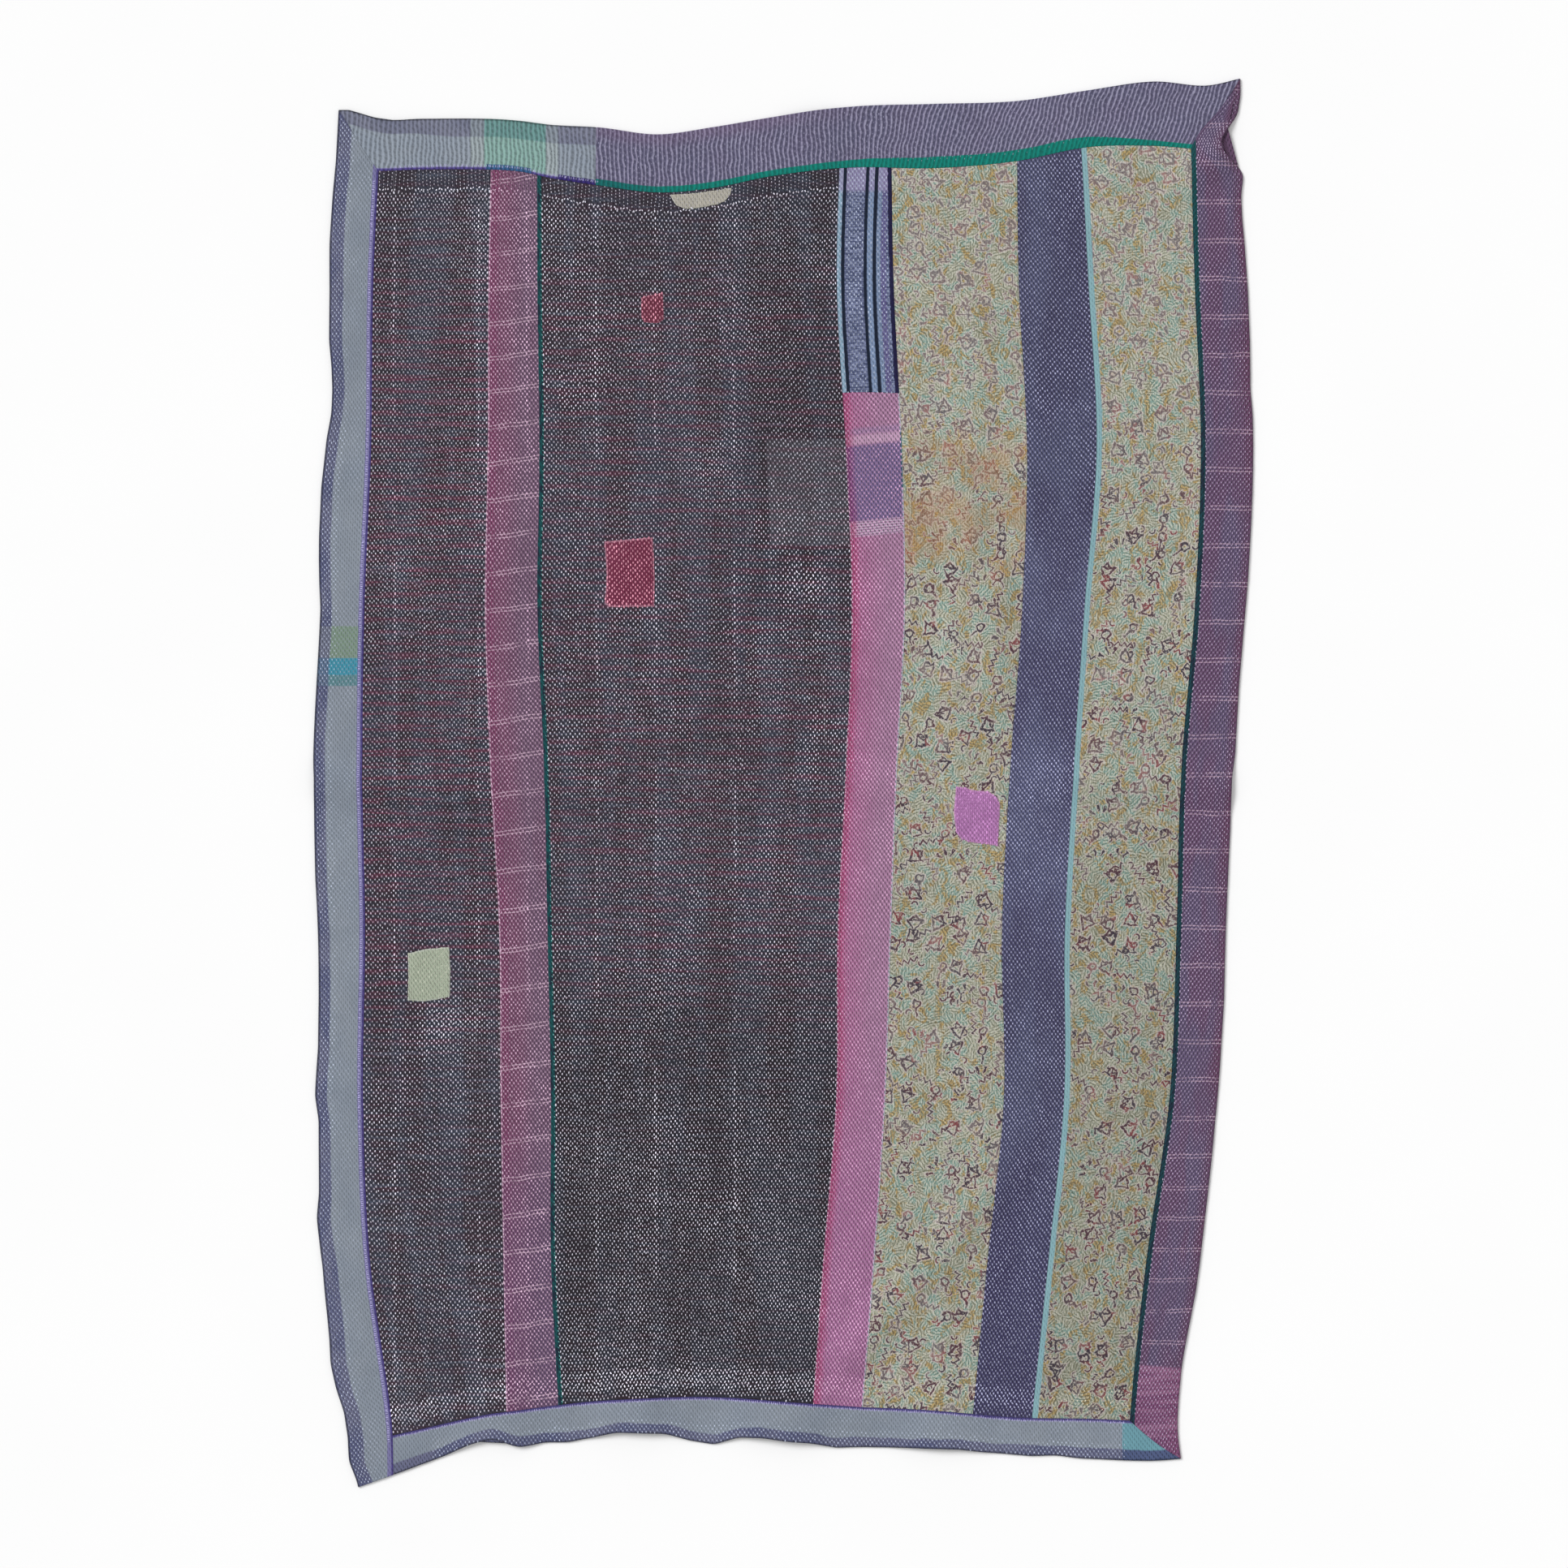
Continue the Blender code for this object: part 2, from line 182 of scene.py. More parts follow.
def ladder(lines, spans, cells):
    """The grid's lines: line before, line after, share between them, shift."""
    (first, second), (inner, last) = lines[:2], lines[-2:]
    steps = [(first, first, 0, 0), (first, first, 0, HEM_THICK), (first, second, 0.5, 0)]
    for (before, after, low, high), count in zip(spans, cells[1:-1]):
        steps += [(before, after, low + (high - low) * i / count, 0) for i in range(count)]
    return steps + [(inner, inner, 0, 0), (inner, last, 0.5, 0),
                    (last, last, 0, -HEM_THICK), (last, last, 0, 0)]


heights = np.arange(-REACH_Y, REACH_Y + 1.0)
places = np.arange(-REACH_X, REACH_X + 1.0)
seam = {name: read_table(SEAM_TABLE, i + 1, heights) for i, name in enumerate(SEAM_LINES)}
seam["right_edge"] = seam["right_edge"] - PINCH_DEPTH * bump(heights - PINCH_HEIGHT, PINCH_HALF)
cross = {name: read_table(CROSS_TABLE, i + 1, places) for i, name in enumerate(CROSS_LINES)}
for name, waver in RIM_WAVERS.items():
    lines, at = (seam, heights) if name in seam else (cross, places)
    spots, shifts = zip(*waver)
    smooth = np.convolve(np.interp(at, spots, shifts), np.hanning(25) / 12, mode="same")
    lines[name] = lines[name] + smooth
COLUMNS = np.array([seam[a] + (seam[b] - seam[a]) * share + shift for a, b, share, shift in
                    ladder(SEAM_LINES, [(a, b, 0, 1) for a, b in
                                        zip(SEAM_LINES[1:], SEAM_LINES[2:-1])], STRIP_CELLS)])
ROWS = np.array([cross[a] + (cross[b] - cross[a]) * share + shift for a, b, share, shift in
                 ladder(CROSS_LINES, [("bottom_hem", "top_hem", 0, BLUE_JOINT),
                                      ("bottom_hem", "top_hem", BLUE_JOINT, 1)], BAND_CELLS)])


def between(table, line, at):
    """A table of lines read between its lines and between its millimetres."""
    i = np.clip(np.floor(line).astype(int), 0, table.shape[0] - 2)
    j = np.clip(np.floor(at).astype(int), 0, table.shape[1] - 2)
    f, g = line - i, at - j
    return ((table[i, j] * (1 - g) + table[i, j + 1] * g) * (1 - f)
            + (table[i + 1, j] * (1 - g) + table[i + 1, j + 1] * g) * f)


def on_quilt(u, v):
    """Where grid places lie on the quilt, in millimetres."""
    u, v = np.broadcast_arrays(np.asarray(u, float), np.asarray(v, float))
    x = np.zeros(u.shape)
    for _ in range(12):
        y = between(ROWS, v, x + REACH_X)
        x = between(COLUMNS, u, y + REACH_Y)
    return x, y


corner_u, corner_v = np.meshgrid(np.arange(ACROSS + 1), np.arange(ALONG + 1), indexing="ij")
corner_x, corner_y = on_quilt(corner_u, corner_v)
MIDDLE = np.array([(corner_x.min() + corner_x.max()) / 2, (corner_y.min() + corner_y.max()) / 2])
print("the outline's middle:", MIDDLE, "size:", np.ptp(corner_x), np.ptp(corner_y))

# %% [markdown]
# ## The relief of the cloth
# Stitching shrinks the cloth between the threads, so a kantha is never smooth.
# Three things raise it here: the folds in which it lies, soft lumps a few
# centimetres wide, and small puckers. The lumps are smooth random hills from a
# seeded table, which gives the same quilt on every run. Finer relief than the
# mesh can hold is left to bump in the materials.

# %% Folds, lumps and puckers
LUMP_TABLE = np.random.default_rng(4).random((8, 64, 64))


def lumps(x, y, size_x, size_y, layer=0):
    """Smooth random hills between 0 and 1, of the given size in millimetres."""
    table = LUMP_TABLE[layer % 8]
    gx, gy = x / size_x + 500.3, y / size_y + 500.7
    i, j = np.floor(gx).astype(int), np.floor(gy).astype(int)
    f, g = gx - i, gy - j
    f, g = f * f * (3 - 2 * f), g * g * (3 - 2 * g)
    a, b, c, d = (table[(i + p) % 64, (j + q) % 64] for p, q in ((0, 0), (1, 0), (0, 1), (1, 1)))
    return (a * (1 - f) + b * f) * (1 - g) + (c * (1 - f) + d * f) * g


def fold_lift(x, y):
    """How far the folds raise the cloth off the floor."""
    lift = np.zeros(np.shape(x))
    for sx, sy, ex, ey, start_high, end_high, half in FOLDS:
        rx, ry = ex - sx, ey - sy
        share = np.clip(((x - sx) * rx + (y - sy) * ry) / (rx * rx + ry * ry), 0, 1)
        away = np.hypot(x - sx - rx * share, y - sy - ry * share)
        lift += (start_high + (end_high - start_high) * share) * bump(away, half)
    return lift


def puckers(x, y):
    """Soft lumps and small puckers, from 0 up to about a millimetre."""
    return (0.5 * lumps(x, y, 34, 46, 1) + 0.45 * lumps(x + 0.3 * y, y, 11, 15, 2)
            + 0.35 * lumps(x - 0.4 * y, y, 8, 10, 3))

# %% [markdown]
# ## A sheet of cloth
# A cloth could be a flat plane with a Solidify modifier, but the sewn edges and
# the hems need their own shape. So each sheet is built as a closed shell: a fine
# grid on top, a coarse one below, where it is never seen, and a thin wall round
# the edge. Each point keeps three UV maps, all true to size: where it lies on
# its cloth, how far it is from the other edge, and where it is in the quilting.

# %% The shell of a sheet
BODY_THICK, FACE_LOW, FACE_TOP = 1.8, 2.1, 2.7
HEM_ROUND = 0.8
SEAM_DRAW = 0.2
SEAM_DROP = 0.3
WALL_SHARES = (0.66, 0.3)
WALL_BULGE = (0.35, 0.3)
SHARP_ANGLE = 0.9


def ring_of(count_i, count_j):
    """The places round a grid's edge, anticlockwise, with the side each starts."""
    return ([(i, 0, "bottom") for i in range(count_i - 1)]
            + [(count_i - 1, j, "right") for j in range(count_j - 1)]
            + [(i, count_j - 1, "top") for i in range(count_i - 1, 0, -1)]
            + [(0, j, "left") for j in range(count_j - 1, 0, -1)])


def draw_in(x, y, rims):
    """Moves the sewn edges in a little, so that neighbours stay apart."""
    moved = [x.copy(), y.copy()]
    sides = {"left": (0, 1, 0), "right": (-1, -2, 0), "bottom": (0, 1, 1), "top": (-1, -2, 1)}
    for side, (edge, inner, axis) in sides.items():
        if side in rims:
            continue
        run = [np.take(c, inner, axis) - np.take(c, edge, axis) for c in (x, y)]
        length = np.maximum(np.hypot(*run), 1e-6)
        for c, r in zip(moved, run):
            if axis:
                c[:, edge] += SEAM_DRAW * r / length
            else:
                c[edge] += SEAM_DRAW * r / length
    return moved


def under_faces(low, blocks_i, blocks_j):
    """The coarse faces below: each block's corners, and all points on the sheet's edge."""
    last_i, last_j = low.shape[0] - 1, low.shape[1] - 1
    faces = []
    for i0, i1 in zip(blocks_i[:-1], blocks_i[1:]):
        for j0, j1 in zip(blocks_j[:-1], blocks_j[1:]):
            way = [(i0, j0)]
            way += [(i0, j) for j in range(j0 + 1, j1) if i0 == 0] + [(i0, j1)]
            way += [(i, j1) for i in range(i0 + 1, i1) if j1 == last_j] + [(i1, j1)]
            way += [(i1, j) for j in range(j1 - 1, j0, -1) if i1 == last_i] + [(i1, j0)]
            way += [(i, j0) for i in range(i1 - 1, i0, -1) if j0 == 0]
            faces.append([int(low[i, j]) for i, j in way])
    return faces


def cloth_object(name, points, faces, maps):
    """An object from points in millimetres. maps: for each UV map, a pair for each point."""
    mesh = bpy.data.meshes.new(name)
    mesh.from_pydata((points * MM).tolist(), [], faces)
    corner_points = np.empty(len(mesh.loops), int)
    mesh.loops.foreach_get("vertex_index", corner_points)
    for map_name, pairs in maps.items():
        layer = mesh.uv_layers.new(name=map_name)
        layer.data.foreach_set("uv", pairs[corner_points].ravel())
    mesh.shade_smooth()
    mesh.set_sharp_from_angle(angle=SHARP_ANGLE)
    piece = bpy.data.objects.new(name, mesh)
    bpy.context.scene.collection.objects.link(piece)
    triangles = len(mesh.loops) - 2 * len(mesh.polygons)
    print(name, "has", triangles, "triangles and", len(points), "points")
    return piece


def sheet_mesh(name, x, y, top, under, blocks, maps, rims=()):
    """A closed sheet over a grid of points. rims are the sides that show a tall edge."""
    count_i, count_j = x.shape
    x, y = draw_in(x, y, rims)
    ring = ring_of(count_i, count_j)
    ring_i, ring_j = (np.array([place[k] for place in ring]) for k in (0, 1))
    low = np.full(x.shape, -1)
    grid_i, grid_j = (g.ravel() for g in np.meshgrid(blocks[0], blocks[1], indexing="ij"))
    low[ring_i, ring_j] = 0
    low[grid_i, grid_j] = 0
    low_i, low_j = np.nonzero(low == 0)
    low[low_i, low_j] = x.size + np.arange(len(low_i))
    points = [np.stack([x.ravel(), y.ravel(), top.ravel()], 1),
              np.stack([x[low_i, low_j], y[low_i, low_j], under[low_i, low_j]], 1)]
    sources = [np.arange(x.size), low_i * count_j + low_j]
    loops = [ring_i * count_j + ring_j]
    total = x.size + len(low_i)
    if rims:
        back = np.roll(np.stack([x[ring_i, ring_j], y[ring_i, ring_j]], 1), 1, 0)
        ahead = np.roll(back, -2, 0)
        out = np.stack([ahead[:, 1] - back[:, 1], back[:, 0] - ahead[:, 0]], 1)
        out /= np.maximum(np.linalg.norm(out, axis=1, keepdims=True), 1e-6)
        on_rim = np.array([side in rims for _, _, side in ring])
        on_rim &= np.roll(on_rim, 1)
        for share, bulge in zip(WALL_SHARES, WALL_BULGE):
            z = top[ring_i, ring_j] * share + under[ring_i, ring_j] * (1 - share)
            push = out * (bulge * on_rim)[:, None]
            points.append(np.stack([x[ring_i, ring_j] + push[:, 0],
                                    y[ring_i, ring_j] + push[:, 1], z], 1))
            sources.append(ring_i * count_j + ring_j)
            loops.append(total + np.arange(len(ring)))
            total += len(ring)
    loops.append(low[ring_i, ring_j])
    index = np.arange(x.size).reshape(x.shape)
    faces = np.stack([index[:-1, :-1], index[1:, :-1], index[1:, 1:], index[:-1, 1:]],
                     -1).reshape(-1, 4).tolist()
    for upper, lower in zip(loops[:-1], loops[1:]):
        faces += np.stack([lower, np.roll(lower, -1), np.roll(upper, -1), upper], 1).tolist()
    faces += under_faces(low, *blocks)
    points, sources = np.concatenate(points), np.concatenate(sources)
    points[:, :2] -= MIDDLE
    pairs = {map_name: np.stack([across.ravel(), along.ravel()], 1)[sources]
             for map_name, (across, along) in maps.items()}
    return cloth_object(name, points, faces, pairs)


# %% [markdown]
# ## The rows of running stitch
# The whole quilt is held by rows of running stitch about three millimetres apart,
# and each stitch is placed by eye against its neighbours in the row before. So
# the pattern that they make drifts: brick-like in one place, slanting like a
# twill in the next. One rule makes all of it. It gives each place a number of
# rows and a number of stitches along the row. A stitch lies wherever both are
# whole, and the same numbers go to the materials as a UV map, so that the
# dimples of the cloth lie where the stitches do.

# %% The quilting rule
ROW_SPACING = 3.15
STITCH_PITCH = 8.5
RIB_SPACING = 6.6
DRIFT = 2.4


def stitch_number(x, y, row):
    """How many stitches up the row a place is. The pattern drifts from zone to zone."""
    return y / STITCH_PITCH + row / 2 + DRIFT * lumps(x, y, 90, 170, 5)


def row_count(width):
    return max(int(round(width / ROW_SPACING)), 1)


FIELD_STRIPS = {
    "panel_dark_left": ("left_hem", "plum"),
    "strip_plum": ("plum", "dark"),
    "panel_dark_wide": ("dark", "rose"),
    "strip_rose": ("rose", "print"),
    "panel_print_wide": ("print", "indigo"),
    "strip_indigo": ("indigo", "narrow"),
    "panel_print_narrow": ("narrow", "right_hem"),
}
STRIP_ROWS = {name: row_count(np.mean(seam[right] - seam[left]))
              for name, (left, right) in FIELD_STRIPS.items()}
print("rows of stitching in each strip:", STRIP_ROWS)


def line_x(name, y):
    """Where a long seam lies at this height."""
    return np.interp(y, heights, seam[name])


def line_y(name, x):
    """Where a cross edge lies at this place across."""
    return np.interp(x, places, cross[name])


# %% [markdown]
# ## The facing cloths
# Each strip of the field is a long rectangle of cells. Near its seams it gets a
# few lines close together, where the cloth dips into the seam. The blue striped
# cloth and the rose cloth share one strip, and meet at a cross seam.

# %% Make the field
FINE = 8
NEAR_SEAM = (0.03, 0.085)


def cell_lines(start, end, fine=FINE):
    """Grid lines from one cell to another, with some more close to the two seams."""
    lines = np.arange(start * fine, end * fine + 1) / fine
    extra = [start + near for near in NEAR_SEAM] + [end - near for near in NEAR_SEAM]
    return np.sort(np.concatenate([lines, extra]))


def block_places(lines, per_cell=2):
    """Which lines are also lines of the coarse grid below."""
    return [i for i, line in enumerate(lines)
            if abs(line * per_cell - round(line * per_cell)) < 1e-6]


def field_top(x, y):
    return FACE_TOP + fold_lift(x, y) + puckers(x, y)


def seam_dip(x, y, left, right):
    """The dip of a cloth's face close to its seams."""
    near = np.minimum(x - line_x(left, y), line_x(right, y) - x)
    return SEAM_DROP * np.clip(1 - near / 1.6, 0, 1)


def field_piece(name, strip, first_row, last_row):
    left, right = FIELD_STRIPS[strip]
    order = list(FIELD_STRIPS).index(strip) + 1
    start, end = STARTS[order], STARTS[order + 1]
    u_lines, v_lines = cell_lines(start, end), cell_lines(first_row, last_row)
    u, v = np.meshgrid(u_lines, v_lines, indexing="ij")
    x, y = on_quilt(u, v)
    top = field_top(x, y) - seam_dip(x, y, left, right)
    under = FACE_LOW + fold_lift(x, y)
    row = (u - start) / (end - start) * STRIP_ROWS[strip]
    maps = {
        "cloth": ((x - line_x(left, y)) * MM, y * MM),
        "width": ((line_x(right, y) - x) * MM, x * MM),
        "quilting": (row, stitch_number(x, y, row)),
    }
    return sheet_mesh(name, x, y, top, under, (block_places(u_lines), block_places(v_lines)), maps)


BOTTOM_ROW, TOP_ROW = BAND_CELLS[0], ALONG - BAND_CELLS[-1]
pieces = {}
for strip in FIELD_STRIPS:
    last_row = BLUE_ROW if strip == "strip_rose" else TOP_ROW
    pieces[strip] = field_piece("cloth_" + strip, strip, BOTTOM_ROW, last_row)
pieces["strip_blue_striped"] = field_piece("cloth_strip_blue_striped", "strip_rose",
                                           BLUE_ROW, TOP_ROW)

# %% [markdown]
# ## The borders
# The border strips fold over the rim down to the floor. Three corners are
# mitred, and at the bottom left one strip runs through over the other. A border
# is a long narrow rectangle of cells too: near a mitre its cross lines tilt
# little by little until the last one lies along the mitre. The ribbed border at
# the top right has real ribs, which no bump can fake at its edge.

# %% Rules of the borders
HEM_CELLS = 3
MITRE_REACH = 9
RIM_LINES = (0, 0.35, 0.7, 1, 1.005)
BORDER_FINE = 11
BORDER_RAISE = 0.35
RIB_HIGH = {"border_top_right": 0.9, "border_top_left": 0.55}
TOP_JOINT = STARTS[3] + 2
BORDERS = {
    # side of the quilt, start and end along it: a number, or "mitre"
    "border_left": ("left", 0, "mitre"),
    "border_right": ("right", "mitre", "mitre"),
    "border_bottom": ("bottom", HEM_CELLS, "mitre"),
    "border_top_left": ("top", "mitre", TOP_JOINT),
    "border_top_right": ("top", TOP_JOINT, "mitre"),
}


def tilt(line, across, length, start, end):
    """Where a cross line of a border runs: tilted near a mitred end."""
    share = (MITRE_REACH - across) / (MITRE_REACH - HEM_CELLS)
    if start == "mitre":
        near = MITRE_REACH
        line = np.where(line < near, near + (line - near) * share, line)
    if end == "mitre":
        near = length - MITRE_REACH
        line = np.where(line > near, near + (line - near) * share, line)
    return line


def rib_number(x, y):
    """How many ribs across the quilt a place is. They waver a little."""
    lean = 0.33 * np.clip((x - 60) / 220, 0, 1)
    wander = 6 * lumps(x, y, 60, 40, 6) + 3 * lumps(x, y, 24, 17, 7) + 2.6 * lumps(x, y, 9, 10, 3)
    return (x - lean * (y - 950) + wander) / RIB_SPACING


def ribs(name, x, y):
    """The cross ribs of the top borders, with a row of stitching in each furrow."""
    if name not in RIB_HIGH:
        return np.zeros(np.shape(x))
    return RIB_HIGH[name] * (np.abs(np.cos(np.pi * rib_number(x, y))) - 0.6)


def border_top(name, x, y):
    return (FACE_TOP + BORDER_RAISE + fold_lift(x, y) + 0.75 * puckers(x, y)
            + ribs(name, x, y))


def border_piece(name):
    side, start, end = BORDERS[name]
    upright = side in ("left", "right")
    length = ALONG if upright else ACROSS
    first = HEM_CELLS if start == "mitre" else start
    last = length - HEM_CELLS if end == "mitre" else end
    across = np.concatenate([RIM_LINES, np.arange(1, 2 * BORDER_FINE) / BORDER_FINE + 1,
                             [2.97, 3]])
    fine = 24 if name in RIB_HIGH else 12
    if first == 0:
        along = np.concatenate([RIM_LINES, np.arange(fine + 1, last * fine + 1) / fine])
    else:
        along = np.arange(first * fine, last * fine + 1) / fine
    along_blocks = [i for i, line in enumerate(along) if abs(line - round(line)) < 1e-6
                    or abs(line - 1.005) < 1e-6]
    across_blocks = [i for i, line in enumerate(across) if line in (0, 1, 1.005, 2, 3)]
    if side in ("right", "top"):
        across = across[::-1]
        across_blocks = [len(across) - 1 - i for i in across_blocks[::-1]]
    if upright:
        a, line = np.meshgrid(across, along, indexing="ij")
        blocks = (across_blocks, along_blocks)
    else:
        line, a = np.meshgrid(along, across, indexing="ij")
        blocks = (along_blocks, across_blocks)
    line = tilt(line, a, length, start, end)
    cells_in = {"left": a, "bottom": a, "right": ACROSS - a, "top": ALONG - a}[side]
    u, v = (cells_in, line) if upright else (line, cells_in)
    x, y = on_quilt(u, v)
    from_rim = np.minimum.reduce([u, v, ACROSS - u, ALONG - v])
    out = np.clip(1 - from_rim, 0, 1)
    rounding = HEM_ROUND * (1 - np.sqrt(1 - out * out))
    dip = SEAM_DROP * np.clip((a - 2.96) / 0.04, 0, 1)
    top = border_top(name, x, y) - rounding - dip
    under = np.where(from_rim < 1.001, 0, FACE_LOW) + fold_lift(x, y)
    edge, hem = side + "_edge", side + "_hem"
    if upright:
        way = 1 if side == "left" else -1
        rim_away, seam_away = way * (x - line_x(edge, y)), way * (line_x(hem, y) - x)
        row = (a - 1) / 2 * row_count(np.mean(np.abs(seam[edge] - seam[hem])))
    else:
        way = 1 if side == "bottom" else -1
        rim_away, seam_away = way * (y - line_y(edge, x)), way * (line_y(hem, x) - y)
        row = rib_number(x, y) if side == "top" else x / ROW_SPACING
    far = y if upright else x
    maps = {
        "cloth": (rim_away * MM, far * MM),
        "width": (seam_away * MM, (x if upright else y) * MM),
        "quilting": (row, stitch_number(x, y, row)),
    }
    rims = [side] + (["bottom"] if name == "border_left" else [])
    return sheet_mesh("cloth_" + name, x, y, top, under, blocks, maps, rims)


# %% Make the borders
for name in BORDERS:
    pieces[name] = border_piece(name)

# %% [markdown]
# ## The stack of old cloths
# Under the facing lies the stack that the stitches hold. Only its underside can
# be seen, when the quilt is turned over, so a coarser mesh will do.

# %% Make the body
BODY_INSET = 1.12
body_u = np.concatenate([[BODY_INSET], np.arange(3, 2 * (ACROSS - 1)) / 2, [ACROSS - BODY_INSET]])
body_v = np.concatenate([[BODY_INSET], np.arange(3, 2 * (ALONG - 1)) / 2, [ALONG - BODY_INSET]])
grid_u, grid_v = np.meshgrid(body_u, body_v, indexing="ij")
body_x, body_y = on_quilt(grid_u, grid_v)
body_low = fold_lift(body_x, body_y)
body_row = body_x / ROW_SPACING
pieces["quilt_body"] = sheet_mesh(
    "cloth_quilt_body", body_x, body_y, body_low + BODY_THICK, body_low,
    (range(len(body_u)), range(len(body_v))),
    {"cloth": (body_x * MM, body_y * MM), "width": (body_x * MM, body_y * MM),
     "quilting": (body_row, stitch_number(body_x, body_y, body_row))})

# %% [markdown]
# ## The patches
# Five scraps are sewn over worn places. A scrap's outline is set down as a few
# corners, and filled with rings from the middle outwards, each laid on the cloth
# below. The last rings turn down, as a hemmed edge does.

# %% Make the patches
PATCH_RAISE = 0.95
PATCH_RINGS = (0.2, 0.4, 0.6, 0.78, 0.9, 0.955, 0.985, 1.0)
PATCH_STEP = 2.0


def outline_of(corners):
    """A patch's outline in short steps, a little uneven from the hand sewing."""
    points = []
    for start, end in zip(corners, corners[1:] + corners[:1]):
        start, end = np.array(start, float), np.array(end, float)
        count = max(int(np.hypot(*(end - start)) / PATCH_STEP), 1)
        points += [start + (end - start) * i / count for i in range(count)]
    points = np.array(points)
    wobble = (lumps(points[:, 0], points[:, 1], 7, 7, 2) - 0.5) * 1.1
    return points + np.stack([wobble, -wobble], 1)


def inside(corners, x, y):
    """Whether places lie within a patch."""
    within = np.zeros(np.shape(x), bool)
    for (x0, y0), (x1, y1) in zip(corners, corners[1:] + corners[:1]):
        if y0 != y1:
            crossed = (y0 > y) != (y1 > y)
            within ^= crossed & (x < (x1 - x0) * (y - y0) / (y1 - y0) + x0)
    return within


def patch_piece(name, corners):
    edge = outline_of(corners)
    if sum(a[0] * b[1] - b[0] * a[1] for a, b in zip(edge, np.roll(edge, -1, 0))) < 0:
        edge = edge[::-1]
    centre = edge.mean(0)
    count = len(edge)
    rings = [centre + (edge - centre) * share for share in PATCH_RINGS]
    flat = np.concatenate([[centre], *rings])
    shares = np.concatenate([[0], np.repeat(PATCH_RINGS, count)])
    ground = field_top(flat[:, 0], flat[:, 1])
    own = 0.35 * lumps(flat[:, 0], flat[:, 1], 9, 12, 6)
    top = ground + PATCH_RAISE + own - 0.55 * np.clip((shares - 0.93) / 0.07, 0, 1) ** 2
    low = ground + 0.06
    size = len(flat)
    points = np.concatenate([np.column_stack([flat - MIDDLE, top]),
                             np.column_stack([flat - MIDDLE, low])])
    faces = []
    for k in range(count):
        after = (k + 1) % count
        faces += [(0, 1 + k, 1 + after), (size, size + 1 + after, size + 1 + k)]
        for ring in range(len(PATCH_RINGS) - 1):
            a, b = 1 + ring * count + k, 1 + ring * count + after
            faces.append((a, a + count, b + count, b))
            faces.append((size + b, size + b + count, size + a + count, size + a))
        a, b = 1 + (len(PATCH_RINGS) - 1) * count + k, 1 + (len(PATCH_RINGS) - 1) * count + after
        faces.append((size + a, size + b, b, a))
    row = flat[:, 0] / ROW_SPACING
    maps = {
        "cloth": flat * MM,
        "width": np.column_stack([shares, shares]),
        "quilting": np.column_stack([row, stitch_number(flat[:, 0], flat[:, 1], row)]),
    }
    return cloth_object("cloth_" + name, points, faces,
                        {map_name: np.tile(pairs, (2, 1)) for map_name, pairs in maps.items()})


for name, corners in PATCHES.items():
    pieces[name] = patch_piece(name, corners)

# %% [markdown]
# ## Where the stitches lie
# A row of stitching runs up the quilt at a fixed share of its strip's width. The
# quilting rule says how many stitches up the row each point is, so reading that
# backwards gives the places of the whole numbers. In the borders the rows carry
# on, up to the mitres. Each stitch also gets a size, a turn and a brightness: a
# few rows are sewn in thicker thread, and a low band and two spots are mended
# with larger loose stitches. Below the top border the dark cloths carry upright
# columns of short stitches, and a row of bright ones.

# %% The places of the stitches
CLEAR_OF_SEAM = 2.2
# Woven lines that no pale thread crosses: how far they reach from a strip's left and right seam
LINE_REACH = {"strip_plum": (0, 6.4), "panel_print_narrow": (8, 0), "border_right": (0, 7.4),
              "border_top_right": (0, 11), "border_left": (0, 9), "border_bottom": (0, 5)}
TOP_BANDED = ("panel_dark_left", "strip_plum", "panel_dark_wide")
TOP_BAND, BAND_COLUMN, BAND_STITCH = 31, 5.7, 4.9
# The navy lines of the blue striped cloth: place from its left seam, half width
BLUE_LINES = ((8.9, 2.5), (42, 2.4), (55.5, 2.7))
SAMPLES = np.arange(-1050.0, 1050.0, 3.0)


def along_rows(x_of_row, numbers, keep):
    """All stitches of a set of rows. x_of_row gives a row's places for its number."""
    xs, ys = [], []
    for number in numbers:
        x = x_of_row(number, SAMPLES)
        count = stitch_number(x, SAMPLES, number)
        whole = np.arange(np.ceil(count[0]), np.floor(count[-1]) + 1)
        row_y = np.interp(whole, count, SAMPLES)
        row_x = x_of_row(number, row_y)
        kept = keep(row_x, row_y)
        xs.append(row_x[kept])
        ys.append(row_y[kept])
    return np.concatenate(xs), np.concatenate(ys)


def blue_joint(x):
    """Where the blue striped cloth and the rose cloth meet."""
    return line_y("bottom_hem", x) + (line_y("top_hem", x) - line_y("bottom_hem", x)) * BLUE_JOINT


def strip_stitches(strip):
    left, right = FIELD_STRIPS[strip]
    rows = STRIP_ROWS[strip]

    def x_of_row(number, y):
        return line_x(left, y) + (line_x(right, y) - line_x(left, y)) * number / rows

    def keep(x, y):
        clear_left, clear_right = LINE_REACH.get(strip, (0, 0))
        top = TOP_BAND if strip in TOP_BANDED else CLEAR_OF_SEAM
        kept = ((y > line_y("bottom_hem", x) + CLEAR_OF_SEAM) & (y < line_y("top_hem", x) - top)
                & (x > line_x(left, y) + clear_left) & (x < line_x(right, y) - clear_right))
        if strip == "strip_rose":
            for place, half in BLUE_LINES:
                off_line = np.abs(x - line_x(left, y) - place) > half + 1.2
                kept &= off_line | (y < blue_joint(x))
            kept &= (x < line_x(right, y) - 6) | (y < blue_joint(x))
        return kept

    return along_rows(x_of_row, np.arange(rows) + 0.5, keep)


